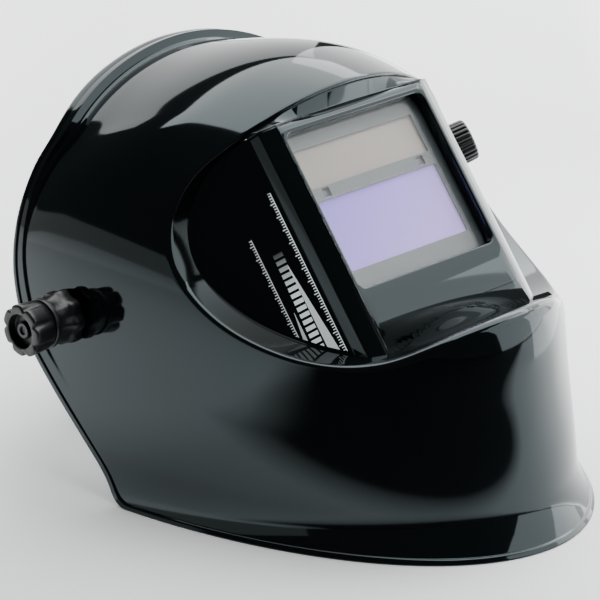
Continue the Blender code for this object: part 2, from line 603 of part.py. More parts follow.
for side, hand in ((1, "left"), (-1, "right")):
    frame = pivot_frame(side)
    turned("friction_washer_" + hand,
           [(BOSS_RADIUS - 2, BOSS_IN - GAP), (BOSS_RADIUS - 2, BOSS_IN - GAP - WASHER_T),
            (BOLT_RADIUS + BOLT_CLEARANCE, BOSS_IN - GAP - WASHER_T),
            (BOLT_RADIUS + BOLT_CLEARANCE, BOSS_IN - GAP)], "washer_nylon", frame)
    turned("pivot_bolt_" + hand,
           [(0, bolt_end), (BOLT_RADIUS - 0.6, bolt_end), (BOLT_RADIUS, bolt_end - 0.6),
            (BOLT_RADIUS, arm_in - GAP), (BOLT_HEAD_R, arm_in - GAP),
            (BOLT_HEAD_R, arm_in - GAP - BOLT_HEAD_T + 1), (BOLT_HEAD_R - 1, arm_in - GAP - BOLT_HEAD_T),
            (0, arm_in - GAP - BOLT_HEAD_T)], "steel", frame)
    slide = HEAD @ Matrix.Scale(side, 4, (1, 0, 0))
    half = SLOT_HEIGHT / 2 - GAP
    block = box("slide_block_" + hand, (arm_in + 0.1, -BLOCK_LENGTH / 2, -half),
                (arm_out - 0.1, BLOCK_LENGTH / 2, half), "washer_nylon", slide)
    boolean(block, rod("block_bore_" + hand, BOLT_RADIUS + GAP, arm_in - 5, arm_out + 5, frame=frame))

    profile = [(0.74, 0.0, 1.0), (0.80, 0.2, 0.93), (0.93, 1.6, 0.55), (1.0, 2.2, 0.3),
               (1.0, 2.4, 0.1), (0.95, 2.0, 0.0)]
    rings = [lobed_ring(COLLAR_RADIUS * size, dip, COLLAR_LOBES, collar_low + COLLAR_LENGTH * share,
                        count=48)
             for size, dip, share in profile]
    collar = loft("distance_collar_" + hand, rings, "knob_black", frame)
    boolean(collar, rod("collar_bore_" + hand, BOLT_RADIUS + BOLT_CLEARANCE, collar_low - 5,
                        collar_high + 5, frame=frame))

    profile = [(0.93, 0.0, 0.0), (1.0, 0.0, 0.06), (1.0, 0.3, 0.2), (0.97, 1.0, 0.6),
               (0.93, 1.6, 0.93), (0.88, 1.6, 1.0)]
    rings = [lobed_ring(KNOB_RADIUS * size, dip, KNOB_FLUTES, knob_low + KNOB_LENGTH * share,
                        count=42)
             for size, dip, share in profile]
    tension = loft("tension_knob_" + hand, rings, "knob_black", frame)
    boolean(tension, rod("tension_bore_" + hand, BOLT_RADIUS + GAP, knob_low - 5, bolt_end + GAP,
                         frame=frame))
    boolean(tension, turned("tension_well_" + hand,
                            [(9.0, knob_high + 5), (9.0, knob_high - 4), (4.6, knob_high - 4),
                             (4.6, knob_high + 5)], frame=frame))

# --- Headgear, in the head's frame (x left, y back, z up; origin between the pivots) -----------
front_arc = np.linspace(math.pi, 2 * math.pi, 37)
front_path = np.stack([HEAD_HALF_W * np.cos(front_arc), HEAD_FRONT * np.sin(front_arc)], 1)
front_path = np.concatenate([[(-HEAD_HALF_W, TAIL_END)], front_path, [(HEAD_HALF_W, TAIL_END)]])
half_band = BAND_HEIGHT / 2
front_band = plate("front_band", [strip(front_path, BAND_T)], -half_band, half_band, "headgear_black", HEAD)

pad_arc = np.linspace(1.17 * math.pi, 1.83 * math.pi, 29)
inside = GAP + PAD_T
pad_path = np.stack([(HEAD_HALF_W - inside) * np.cos(pad_arc), (HEAD_FRONT - inside) * np.sin(pad_arc)], 1)
plate("sweatband", [strip(pad_path, PAD_T)], -half_band - 3, half_band + 3, "pad_fabric", HEAD)

cradle_x = HEAD_HALF_W - GAP - BAND_T
rear_arc = np.linspace(0, math.pi, 31)
rear_path = np.stack([cradle_x * np.cos(rear_arc),
                      REAR_ARC_START + (HEAD_REAR - REAR_ARC_START) * np.sin(rear_arc)], 1)
rear_path = np.concatenate([[(cradle_x, CRADLE_START)], rear_path, [(-cradle_x, CRADLE_START)]])
half_rear = half_band - 3
plate("rear_band", [strip(rear_path, BAND_T)], -half_rear, half_rear, "headgear_black", HEAD)

nape_arc = np.linspace(0.2 * math.pi, 0.8 * math.pi, 21)
nape_path = np.stack([(cradle_x - inside) * np.cos(nape_arc),
                      REAR_ARC_START + (HEAD_REAR - REAR_ARC_START - inside) * np.sin(nape_arc)], 1)
plate("nape_pad", [strip(nape_path, PAD_T)], -half_band, half_band, "pad_fabric", HEAD)

RIVET_ANGLE = math.radians(38)
RIVET_R, RIVET_HEAD_R = 2.0, 4.5
rivet_top = BAND_T + GAP + ARM_T + GAP
for side, hand in ((1, "left"), (-1, "right")):
    bend = smooth([(arm_in, SLOT_LENGTH / 2 + 8), (arm_in, 0), (arm_in, -24), (arm_in - 3.5, -34),
                   (arm_in - 22, -45), (arm_in - 36, -52)], 4)
    tab_angle = np.radians([33.0, 36.0, 40.0, 44.0])
    tab = np.stack([(HEAD_HALF_W + BAND_T + GAP) * np.cos(tab_angle),
                    -(HEAD_FRONT + BAND_T + GAP) * np.sin(tab_angle)], 1)
    path = np.concatenate([bend, tab])
    mirror = HEAD @ Matrix.Scale(side, 4, (1, 0, 0))
    arm = plate("side_arm_" + hand, [strip(path[::-1], ARM_T)], -ARM_HEIGHT / 2, ARM_HEIGHT / 2,
                "headgear_black", mirror)
    boolean(arm, box("arm_slot_" + hand, (arm_in - 5, -SLOT_LENGTH / 2, -SLOT_HEIGHT / 2),
                     (arm_out + 5, SLOT_LENGTH / 2, SLOT_HEIGHT / 2), frame=mirror))
    out = Vector((side * math.cos(RIVET_ANGLE) / HEAD_HALF_W, -math.sin(RIVET_ANGLE) / HEAD_FRONT, 0))
    place = Vector((side * HEAD_HALF_W * math.cos(RIVET_ANGLE), -HEAD_FRONT * math.sin(RIVET_ANGLE), 0))
    rivet_frame = HEAD @ aimed(place, out.normalized())
    for piece, name in ((arm, "arm_rivet_hole_"), (front_band, "band_rivet_hole_")):
        boolean(piece, rod(name + hand, RIVET_R + GAP, -6, rivet_top + 8, frame=rivet_frame))
    turned("arm_rivet_" + hand,
           [(0, rivet_top + 1.6), (RIVET_HEAD_R - 2, rivet_top + 1.4), (RIVET_HEAD_R, rivet_top + 0.5),
            (RIVET_HEAD_R, rivet_top), (RIVET_R, rivet_top), (RIVET_R, 0.1), (0, 0.1)],
           "steel", rivet_frame, steps=20)

strap_half = HEAD_HALF_W + BAND_T + GAP
strap_arc = np.linspace(0, math.pi, 33)
strap_foot = half_band + 6
strap_path = np.stack([strap_half * np.cos(strap_arc),
                       strap_foot + (STRAP_RISE - strap_foot) * np.sin(strap_arc)], 1)
strap_path = np.concatenate([[(strap_half, -8)], strap_path, [(-strap_half, -8)]])
strap_frame = STRAP @ Matrix.Rotation(math.radians(90), 4, 'X')
crown_strap = plate("crown_strap", [strip(strap_path, BAND_T)], -STRAP_WIDTH / 2, STRAP_WIDTH / 2,
                    "headgear_black", strap_frame)
pin_top = BAND_T + GAP + BAND_T + GAP
for side, hand in ((1, "left"), (-1, "right")):
    pin_frame = HEAD @ aimed(Vector((side * HEAD_HALF_W, 0, 0)), Vector((side, 0, 0)))
    for piece, name in ((crown_strap, "strap_pin_hole_"), (front_band, "band_pin_hole_")):
        boolean(piece, rod(name + hand, RIVET_R + GAP, -6, pin_top + 8, frame=pin_frame))
    turned("crown_pin_" + hand,
           [(0, pin_top + 1.6), (RIVET_HEAD_R - 2, pin_top + 1.4), (RIVET_HEAD_R, pin_top + 0.5),
            (RIVET_HEAD_R, pin_top), (RIVET_R, pin_top), (RIVET_R, -GAP), (RIVET_R + 1.5, -GAP),
            (RIVET_R + 1.5, -GAP - 1.2), (0, -GAP - 1.2)], "steel", pin_frame, steps=20)
crown_arc = np.linspace(0.3 * math.pi, 0.7 * math.pi, 15)
crown_path = np.stack([(strap_half - inside) * np.cos(crown_arc),
                       strap_foot + (STRAP_RISE - strap_foot - inside) * np.sin(crown_arc)], 1)
plate("crown_pad", [strip(crown_path, PAD_T)], -STRAP_WIDTH / 2 - 2, STRAP_WIDTH / 2 + 2, "pad_fabric",
      strap_frame)

# Ratchet on the rear band: housing, cover, pinion on the knob's shaft.
NAPE = HEAD @ Matrix.Translation((0, (HEAD_REAR + BAND_T + GAP) * MM, 0)) @ Matrix.Rotation(
    math.radians(-90), 4, 'X')
COVER_T = 2.0
housing = plate("ratchet_housing", [rounded_rectangle(RATCHET_W, RATCHET_H, 6)], 0, RATCHET_D,
                "headgear_black", NAPE)
PINION_R, PINION_W = 7.0, 5.0
boolean(housing, rod("pinion_room", PINION_R + 1.2, RATCHET_D - PINION_W - 1.2, RATCHET_D + 5, frame=NAPE))
boolean(housing, box("rack_room", (-RATCHET_W / 2 + 5, -PINION_R - 4, RATCHET_D - PINION_W - 1.2),
                     (RATCHET_W / 2 - 5, PINION_R + 4, RATCHET_D + 5), frame=NAPE))
cover = plate("ratchet_cover", [rounded_rectangle(RATCHET_W, RATCHET_H, 6)], RATCHET_D + GAP,
              RATCHET_D + GAP + COVER_T, "headgear_black", NAPE)
SPINDLE_R = 3.0
boolean(cover, rod("cover_bore", SPINDLE_R + GAP, RATCHET_D - 5, RATCHET_D + 10, frame=NAPE))
pinion_low = RATCHET_D - PINION_W - 0.9
pinion = loft("ratchet_pinion",
              [lobed_ring(PINION_R, 2.0, 10, z, count=60) for z in (pinion_low, RATCHET_D - 0.6)],
              "headgear_black", NAPE)
spindle_top = RATCHET_D + GAP + COVER_T + 8
join(pinion, rod("spindle", SPINDLE_R, RATCHET_D - 2, spindle_top, frame=NAPE))
ratchet_base = RATCHET_D + GAP + COVER_T + GAP
ratchet_top = ratchet_base + RATCHET_KNOB_LENGTH
rings = [lobed_ring(RATCHET_KNOB_RADIUS * size, dip, 10, ratchet_base + RATCHET_KNOB_LENGTH * share,
                    count=80)
         for size, dip, share in [(0.94, 0.6, 0.0), (1.0, 1.2, 0.1), (1.0, 1.4, 0.85), (0.93, 1.0, 1.0)]]
ratchet = loft("ratchet_knob", rings, "knob_black", NAPE)
boolean(ratchet, rod("ratchet_bore", SPINDLE_R + GAP, ratchet_base - 5, spindle_top + GAP, frame=NAPE))

# --- What moves together ------------------------------------------------------------------------
def carrier_empty(name, frame, parent, parent_frame, pieces):
    """Empty on a joint's axis that carries the pieces moving with it."""
    empty = bpy.data.objects.new(name, None)
    parts.objects.link(empty)
    empty.parent = parent
    empty.matrix_parent_inverse = parent_frame.inverted()
    empty.matrix_basis = frame
    for piece in pieces:
        held = bpy.data.objects[piece]
        held.parent = empty
        held.matrix_parent_inverse = frame.inverted()
    return empty


root = bpy.data.objects.new("helmet_origin", None)
parts.objects.link(root)
for obj in [*parts.objects, *cutters.objects]:
    if obj is not root:
        obj.parent = root
PIVOT = pivot_frame(1)
tilting = carrier_empty("pivot_carrier", PIVOT, root, Matrix(),
                        [kind + hand for kind in ("pivot_bolt_", "slide_block_", "tension_knob_")
                         for hand in ("left", "right")])
headgear = carrier_empty("headgear", HEAD, tilting, PIVOT,
                         ["front_band", "sweatband"]
                         + [kind + hand for kind in ("side_arm_", "arm_rivet_", "crown_pin_")
                            for hand in ("left", "right")])
carrier_empty("crown", STRAP, headgear, HEAD, ["crown_strap", "crown_pad"])
cradle = carrier_empty("rear_cradle", HEAD, headgear, HEAD,
                       ["rear_band", "nape_pad", "ratchet_housing", "ratchet_cover"])
carrier_empty("ratchet", NAPE, cradle, HEAD, ["ratchet_knob", "ratchet_pinion"])

# The model stands with the middle of its own box over the origin.
bpy.context.view_layer.update()
graph = bpy.context.evaluated_depsgraph_get()
low, high = math.inf, -math.inf
for obj in parts.objects:
    if obj.type == 'EMPTY':
        continue
    evaluated = obj.evaluated_get(graph)
    depths = [(obj.matrix_world @ vertex.co).y for vertex in evaluated.to_mesh().vertices]
    low, high = min(low, *depths), max(high, *depths)
    evaluated.to_mesh_clear()
root.location.y = -(low + high) / 2
print("middle of the box, y in mm:", round((low + high) / 2 / MM, 3))
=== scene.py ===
"""Visual model of an auto-darkening welding helmet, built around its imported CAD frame."""

# %% [markdown]
# # Start: the frame
# The CAD model is loaded first and never moves. Every visible piece is worked out in the design's
# own millimetres (x across, y back from the window's centre, z up from the rim) and becomes metres
# of the frame when its mesh is made. The shift along y comes from the shell's own box.

# %% Load the frame
import json
import math

import bmesh
import bpy
import numpy as np
from mathutils import Matrix, Vector

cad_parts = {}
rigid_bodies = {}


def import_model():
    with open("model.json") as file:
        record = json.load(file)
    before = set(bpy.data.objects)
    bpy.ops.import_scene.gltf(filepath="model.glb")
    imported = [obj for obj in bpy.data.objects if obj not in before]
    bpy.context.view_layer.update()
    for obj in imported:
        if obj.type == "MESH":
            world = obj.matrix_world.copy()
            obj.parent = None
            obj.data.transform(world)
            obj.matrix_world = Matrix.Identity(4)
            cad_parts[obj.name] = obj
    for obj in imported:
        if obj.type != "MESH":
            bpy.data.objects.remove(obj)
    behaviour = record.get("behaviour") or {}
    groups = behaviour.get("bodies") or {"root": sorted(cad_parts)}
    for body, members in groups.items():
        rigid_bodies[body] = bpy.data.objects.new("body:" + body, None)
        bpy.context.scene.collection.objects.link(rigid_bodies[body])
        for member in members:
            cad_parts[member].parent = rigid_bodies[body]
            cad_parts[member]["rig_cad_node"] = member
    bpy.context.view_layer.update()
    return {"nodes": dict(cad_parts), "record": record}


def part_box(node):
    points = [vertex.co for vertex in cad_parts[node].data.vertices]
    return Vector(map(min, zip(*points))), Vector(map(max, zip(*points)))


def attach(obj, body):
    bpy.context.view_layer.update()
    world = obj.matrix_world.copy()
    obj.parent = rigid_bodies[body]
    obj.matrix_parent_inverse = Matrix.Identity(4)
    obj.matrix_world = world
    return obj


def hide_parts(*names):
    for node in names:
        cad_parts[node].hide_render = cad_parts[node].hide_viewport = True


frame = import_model()
MM = 0.001
CHIN_RIM = -127.0                       # y of the rim's foremost point in the design
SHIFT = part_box("shell")[0].y / MM - CHIN_RIM
print("frame loaded, shift along y in mm:", round(SHIFT, 3))

# %% [markdown]
# # Meshes from grids
# Most pieces are surfaces of two parameters: an array of points with rows and columns. One helper
# joins neighbouring points with quads, closes the grid where it runs round, and puts it in a mesh.

# %% Helpers that turn arrays into pieces
def grid_faces(rows, columns, wrap_rows=False, wrap_columns=False):
    """Quads between neighbouring points of a grid, numbered row by row."""
    i, j = np.meshgrid(np.arange(rows - (not wrap_rows)), np.arange(columns - (not wrap_columns)),
                       indexing="ij")
    down, across = (i + 1) % rows, (j + 1) % columns
    return np.stack([i * columns + j, i * columns + across, down * columns + across,
                     down * columns + j], -1).reshape(-1, 4)


def linked(name, data):
    """New object in the scene."""
    obj = bpy.data.objects.new(name, data)
    bpy.context.scene.collection.objects.link(obj)
    return obj


def coordinates(mesh):
    """All points of a mesh, as rows of x, y and z."""
    flat = np.empty(len(mesh.vertices) * 3)
    mesh.vertices.foreach_get("co", flat)
    return flat.reshape(-1, 3)


def new_piece(name, points, faces, slot, body, replaces=(), smooth=30.0, merge=0.0, place=None,
              uv=None):
    """Object from points in design millimetres; it rides on a body and stands for CAD nodes."""
    points = np.asarray(points, float).reshape(-1, 3)
    if place is not None:
        points = points @ np.array(place.to_3x3()).T + np.array(place.translation)
    points = (points + (0, SHIFT, 0)) * MM
    mesh = bpy.data.meshes.new(name)
    mesh.from_pydata(points.tolist(), [], np.asarray(faces).tolist())
    if uv is not None:
        layer = mesh.uv_layers.new(name="flat")
        loops = np.empty(len(mesh.loops), np.int32)
        mesh.loops.foreach_get("vertex_index", loops)
        layer.data.foreach_set("uv", np.asarray(uv, np.float32).reshape(-1, 2)[loops].ravel())
    bm = bmesh.new()
    bm.from_mesh(mesh)
    if merge:
        bmesh.ops.remove_doubles(bm, verts=bm.verts, dist=merge * MM)
    bmesh.ops.recalc_face_normals(bm, faces=bm.faces)
    bm.to_mesh(mesh)
    bm.free()
    mesh.shade_smooth()
    mesh.set_sharp_from_angle(angle=math.radians(smooth))
    obj = linked(name, mesh)
    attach(obj, body)
    if replaces:
        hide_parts(*replaces)
    obj["finish"] = slot
    return obj


def smoothstep(low, high, value):
    """0 below low, 1 above high, and an S between them."""
    t = np.clip((value - low) / (high - low), 0, 1)
    return t * t * (3 - 2 * t)


def cubic_spline(knots, values):
    """Natural cubic spline: bends as little as it can through the knots. Returns a function."""
    x, y = np.asarray(knots, float), np.asarray(values, float)
    h = np.diff(x)
    matrix = np.eye(len(x))
    right = np.zeros(len(x))
    for k in range(1, len(x) - 1):
        matrix[k, k - 1:k + 2] = h[k - 1], 2 * (h[k - 1] + h[k]), h[k]
        right[k] = 6 * ((y[k + 1] - y[k]) / h[k] - (y[k] - y[k - 1]) / h[k - 1])
    bend = np.linalg.solve(matrix, right)

    def at(t):
        k = np.clip(np.searchsorted(x, t) - 1, 0, len(h) - 1)
        a, b = (x[k + 1] - t) / h[k], (t - x[k]) / h[k]
        return (a * y[k] + b * y[k + 1]
                + ((a ** 3 - a) * bend[k] + (b ** 3 - b) * bend[k + 1]) * h[k] ** 2 / 6)
    return at


def smooth_line(points, steps):
    """Catmull-Rom curve through points, with a number of steps to each stretch."""
    p = np.array(points, float)
    q = np.concatenate([2 * p[:1] - p[1:2], p, 2 * p[-1:] - p[-2:-1]])
    t = np.linspace(0, 1, steps, endpoint=False)[:, None]
    stretches = [0.5 * (2 * b + (c - a) * t + (2 * a - 5 * b + 4 * c - d) * t ** 2
                        + (3 * b - a - 3 * c + d) * t ** 3)
                 for a, b, c, d in zip(q, q[1:], q[2:], q[3:])]
    return np.concatenate(stretches + [p[-1:]])


# %% [markdown]
# # The camera
# A long lens, two metres away, to the wearer's right and a little above the window, so that the
# uprights hardly converge.

# %% Camera
VIEW_AZIMUTH, VIEW_ELEVATION, VIEW_DISTANCE = math.radians(-44.54), math.radians(21.61), 2.0
TARGET_X, TARGET_Z = -70.67, 128.5      # the point looked at, in millimetres
LENS, SENSOR = 221.4, 36.0
target = Vector((TARGET_X, SHIFT, TARGET_Z)) * MM
view_back = Vector((math.sin(VIEW_AZIMUTH) * math.cos(VIEW_ELEVATION),
                    -math.cos(VIEW_AZIMUTH) * math.cos(VIEW_ELEVATION), math.sin(VIEW_ELEVATION)))
camera = linked("camera", bpy.data.cameras.new("camera"))
camera.location = target + view_back * VIEW_DISTANCE
camera.rotation_mode = "QUATERNION"
camera.rotation_quaternion = view_back.to_track_quat("Z", "Y")
camera.data.lens, camera.data.sensor_width = LENS, SENSOR
bpy.context.scene.camera = camera
print("camera at", [round(v, 3) for v in camera.location])

# %% [markdown]
# # The shell
# The real shell is one moulding: a dome, open below and behind, with a face recess pressed into it.
# A glossy black surface shows every ripple, so the dome isn't cut by a Boolean. It is one grid
# whose columns run like rays from the middle of the recess out to the open edge, and whose rows
# follow the recess's edge, so that the edge is crisp and can be given a true round.

# %% The dome as a formula
CROWN = 237.5
STATIONS = np.array([
    # height  width  front  rear   middle
    [0.000, 1.000, 1.000, 1.000, 130.0],
    [0.170, 0.998, 0.975, 0.990, 129.0],
    [0.340, 0.980, 0.940, 0.970, 127.0],
    [0.505, 0.950, 0.895, 0.900, 122.0],
    [0.632, 0.905, 0.795, 0.800, 114.0],
    [0.758, 0.812, 0.640, 0.690, 106.0],
    [0.855, 0.672, 0.480, 0.560, 99.0],
    [0.922, 0.505, 0.352, 0.410, 94.0],
    [0.964, 0.345, 0.242, 0.280, 91.0],
    [1.000, 0.000, 0.000, 0.000, 89.0]])
HALF_WIDTH, FRONT_REACH, REAR_REACH = 134.0, 247.0, 235.0
FLARE_FRONT, FLARE_SIDE, FLARE_HEIGHT = 10.0, 4.0, 24.0
LEAST_SQUARE = 1e-5                     # keeps the square roots real at the crown
TURN_HALF = 30.0                        # the front reach changes to the rear one over twice this
station_square = [cubic_spline(STATIONS[:, 0], STATIONS[:, k] ** 2) for k in (1, 2, 3)]
station_middle = cubic_spline(STATIONS[:, 0], STATIONS[:, 4])


def dome_gap(p):
    """Below 0 inside the dome and above 0 outside: an ellipse at each height, long to the front
    and longer to the rear, whose three reaches are read from the stations' smooth squares."""
    share = np.clip(p[..., 2] / CROWN, 0, 1)
    flare = np.clip(1 - p[..., 2] / FLARE_HEIGHT, 0, 2) ** 2
    width, front, rear = (np.sqrt(np.clip(f(share), LEAST_SQUARE, None)) for f in station_square)
    depth = p[..., 1] - station_middle(share)
    width = HALF_WIDTH * width + FLARE_SIDE * flare
    back = smoothstep(-TURN_HALF, TURN_HALF, depth)
    reach = (FRONT_REACH * front + FLARE_FRONT * flare) * (1 - back) + REAR_REACH * rear * back
    gap = (p[..., 0] / width) ** 2 + (depth / reach) ** 2 - 1
    return np.where(p[..., 2] > CROWN, 1.0 + p[..., 2] - CROWN, gap)


HEART = np.array([0.0, 55.0, 95.0])     # every ray starts here
AIM = np.array([0.0, -0.680, 0.733])    # towards the middle of the recess
AIM /= np.linalg.norm(AIM)
ACROSS, RISE = np.array([1.0, 0, 0]), np.cross([1.0, 0, 0], AIM)
RAY_LENGTH, HALVINGS = 420.0, 34


def ray(lean, turn):
    """Directions leaning away from the aim by one angle, and turned about it by another."""
    lean, turn = lean[..., None], turn[..., None]
    return np.cos(lean) * AIM + np.sin(lean) * (np.cos(turn) * ACROSS + np.sin(turn) * RISE)


def on_dome(lean, turn):
    """Points where rays meet the dome, found by halving the stretch that holds the crossing."""
    direction = ray(lean, turn)
    low, high = np.zeros(lean.shape), np.full(lean.shape, RAY_LENGTH)
    for _ in range(HALVINGS):
        middle = (low + high) / 2
        outside = dome_gap(HEART + middle[..., None] * direction) > 0
        low, high = np.where(outside, low, middle), np.where(outside, middle, high)
    return HEART + ((low + high) / 2)[..., None] * direction


# %% [markdown]
# The recess is a sheet: its side-view line drawn straight across, except that the sill under the
# window rises in the middle. Which side of the sheet a dome point is on is a signed distance.

# %% The recess's sheet and the open rear edge
RECESS_EDGE = [(-150, 157), (-96, 131), (-62, 110.5), (-28, 107.5), (14, 118.5), (45, 138.5),
               (59, 163), (58, 188), (45, 211), (33, 229), (8, 262), (-60, 300)]
REAR_EDGE = [(70, -10), (80, 0), (92, 15), (112, 35), (136, 57), (158, 80), (173, 110),
             (178, 140), (177, 168), (174, 188), (181, 216), (188, 262)]
recess_line = smooth_line(RECESS_EDGE, 12)
line_steps = np.linalg.norm(np.diff(recess_line, axis=0), axis=1)
line_length = np.concatenate([[0], np.cumsum(line_steps)])
rear_edge = smooth_line(REAR_EDGE, 8)
SILL_RISE, SILL_HALF = 8.5, 52.0        # the saddle's height and half its width
SILL_STARTS, SILL_ENDS = (-95, -50), (-44, -20)     # stretches of y where it comes and goes
CORNER_BLEND = 7.0                      # the round where the rim meets the rear edge


def sill_rise(x, y):
    """The sill's saddle: highest on the middle line at the window's foot, gone at the chin edge."""
    return (SILL_RISE * np.clip(1 - (x / SILL_HALF) ** 2, 0, 1) ** 2
            * smoothstep(*SILL_STARTS, y) * (1 - smoothstep(*SILL_ENDS, y)))


def before_sheet(p):
    """Distance to the recess's sheet in side view, above 0 behind it and below 0 before it."""
    flat = np.stack([p[..., 1], p[..., 2] - sill_rise(p[..., 0], p[..., 1])], -1)
    best, side = np.full(flat.shape[:-1], np.inf), np.zeros(flat.shape[:-1])
    for start, end in zip(recess_line[:-1], recess_line[1:]):
        along = end - start
        t = np.clip(((flat - start) @ along) / (along @ along), 0, 1)
        gap = flat - start - t[..., None] * along
        far = np.hypot(gap[..., 0], gap[..., 1])
        left = along[0] * gap[..., 1] - along[1] * gap[..., 0]
        nearer = far < best
        best, side = np.where(nearer, far, best), np.where(nearer, np.sign(left), side)
    return -best * side


def inside_edge(p):
    """Above 0 on the shell, below 0 past its rim or its rear edge; the corner between is round."""
    rear = np.interp(p[..., 2], rear_edge[:, 1], rear_edge[:, 0]) - p[..., 1]
    h = np.clip(0.5 + 0.5 * (rear - p[..., 2]) / CORNER_BLEND, 0, 1)
    return rear + (p[..., 2] - rear) * h - CORNER_BLEND * h * (1 - h)


COLUMNS, FAN_ROWS = 400, 260
LEAST_LEAN, MOST_LEAN = 0.05, 2.35
turns = np.linspace(0, 2 * math.pi, COLUMNS, endpoint=False) + math.pi / 2
leans = np.linspace(LEAST_LEAN, MOST_LEAN, FAN_ROWS)
fan = on_dome(np.broadcast_to(leans[:, None], (FAN_ROWS, COLUMNS)),
              np.broadcast_to(turns, (FAN_ROWS, COLUMNS)))


def first_crossing(values):
    """Lean at which each column's value first rises above 0, found between two rows of the fan."""
    row = np.argmax(values > 0, axis=0)
    low = values[row - 1, np.arange(COLUMNS)]
    high = values[row, np.arange(COLUMNS)]
    return leans[row - 1] + (leans[row] - leans[row - 1]) * low / (low - high)


edge_lean = first_crossing(before_sheet(fan))
past = np.where(leans[:, None] > edge_lean, -inside_edge(fan), -1.0)
open_lean = first_crossing(past)
edge = on_dome(edge_lean, turns)
print("recess edge spans x to", round(edge[:, 0].max(), 1), "and z", edge[:, 2].min().round(1),
      "to", edge[:, 2].max().round(1))
opening = on_dome(open_lean, turns)
print("open edge spans y", opening[:, 1].min().round(1), opening[:, 1].max().round(1),
      "z", opening[:, 2].min().round(1), opening[:, 2].max().round(1))

# %% [markdown]
# Each column is now filled from the open edge to the recess's edge at chosen distances along the
# dome: close together at the rim bead, the rear lip and the rounded recess edge, and wide apart in
# between. Past the recess's edge the rows go on along the sheet, towards the middle of the window.

# %% Rows of the dome
FINE_ROWS, MIDDLE_ROWS = 160, 44
fine = np.linspace(0, 1, FINE_ROWS)[:, None]
fan_leans = edge_lean + (open_lean - edge_lean) * fine
fan_points = on_dome(fan_leans, np.broadcast_to(turns, fan_leans.shape))
steps_mm = np.linalg.norm(np.diff(fan_points, axis=0), axis=2)
travel = np.concatenate([np.zeros((1, COLUMNS)), np.cumsum(steps_mm, axis=0)])
EDGE_ROUND, CHIN_ROUND = 2.6, 8.0       # the recess edge's round, and the softer one at the chin
CHIN_ENDS = (-75, -30)                  # stretch of y over which one becomes the other
chin_share = 1 - smoothstep(*CHIN_ENDS, edge[:, 1])
edge_round = EDGE_ROUND + (CHIN_ROUND - EDGE_ROUND) * chin_share
near_edge = edge_round + np.array([0.0, 1.2, 3.2])[:, None]
near_rim = np.array([16, 13.6, 12.7, 12.0, 11.3, 10.6, 9.6, 8, 6.4, 5.2, 4.5, 4.1, 3.7, 3.3, 2.4,
                     1.4, 0.6, 0.0])
middle_share = np.linspace(0, 1, MIDDLE_ROWS + 2)[1:-1]


def dome_row_travel(total):
    """Distances along a column at which its rows lie, for columns of any length."""
    low, high = near_edge[-1], total - near_rim[0]
    return np.concatenate([near_edge,
                           low + (high - low) * middle_share[:, None],
                           total - near_rim[:, None]])


wanted = dome_row_travel(travel[-1])
row_leans = np.stack([np.interp(wanted[:, k], travel[:, k], fan_leans[:, k])
                      for k in range(COLUMNS)], 1)
dome_rows = on_dome(row_leans, np.broadcast_to(turns, row_leans.shape))


def surface_normals(rows):
    """Outward normals of a grid whose columns run round, from its neighbours' differences."""
    along = np.roll(rows, -1, 1) - np.roll(rows, 1, 1)
    down = np.gradient(rows, axis=0)
    normal = np.cross(along, down)
    normal /= np.linalg.norm(normal, axis=2, keepdims=True)
    outward = np.sign(np.sum(normal * (rows - HEART), axis=2, keepdims=True))
    return normal * outward


LIP_STEP, LIP_DEPTH, BEAD_HEIGHT, BEAD_DEPTH = 6.0, 11.2, 0.8, 3.6
LIP_SOFT, BEAD_SOFT = 0.7, 0.4          # half the length of each step
LIFT_Z, LIFT_Y = (120, 212), (120, 150)     # where along the open edge the raised lip comes up
SIDE_LIP, SIDE_LIP_Y = 1.2, (125, 160)  # the low lip down the sides
SINK_FROM, SINK_TO = 30.0, 115.0        # the step down from the lip fades out over these distances
GROOVE_DEPTH, GROOVE_PAST_LIP, GROOVE_HALF = 0.9, 2.2, 0.9
to_rim = travel[-1] - wanted
end_y, end_z = dome_rows[-1, :, 1], dome_rows[-1, :, 2]
lift = smoothstep(*LIFT_Z, end_z) * smoothstep(*LIFT_Y, end_y)
lip = SIDE_LIP * (1 - lift) * smoothstep(*SIDE_LIP_Y, end_y)
past_lip = smoothstep(LIP_DEPTH - LIP_SOFT, LIP_DEPTH + LIP_SOFT, to_rim)
sunk = -LIP_STEP * lift * past_lip * (1 - smoothstep(SINK_FROM, SINK_TO, to_rim))
proud = lip * (1 - past_lip)
bead = BEAD_HEIGHT * (1 - smoothstep(BEAD_DEPTH - BEAD_SOFT, BEAD_DEPTH + BEAD_SOFT, to_rim))
groove_place = (to_rim - LIP_DEPTH - GROOVE_PAST_LIP) / GROOVE_HALF
groove = -GROOVE_DEPTH * lift * np.exp(-groove_place ** 2)
dome_rows = dome_rows + surface_normals(dome_rows) * (proud + sunk + bead + groove)[..., None]
print("dome rows", len(dome_rows), "longest column", round(travel[-1].max(), 1), "mm")

# %% [markdown]
# The sheet's rows are found by length along its side-view line, so that they never cross. Where the
# sheet meets the dome, a curve through three points makes the rounded edge that a mould leaves.

# %% Rows of the recess's sheet, and the round between the two
SHEET_ROWS, SHEET_REACH, SHEET_CROWDING, ROUND_ROWS = 44, 0.97, 1.25, 9
SHEET_MIDDLE = (0.0, 50.0, 150.0)       # a point near the middle of the window
LINE_SAMPLES = 3000


def line_at(s):
    """Side-view point of the recess's line at a length along it."""
    return np.stack([np.interp(s, line_length, recess_line[:, k]) for k in (0, 1)], -1)


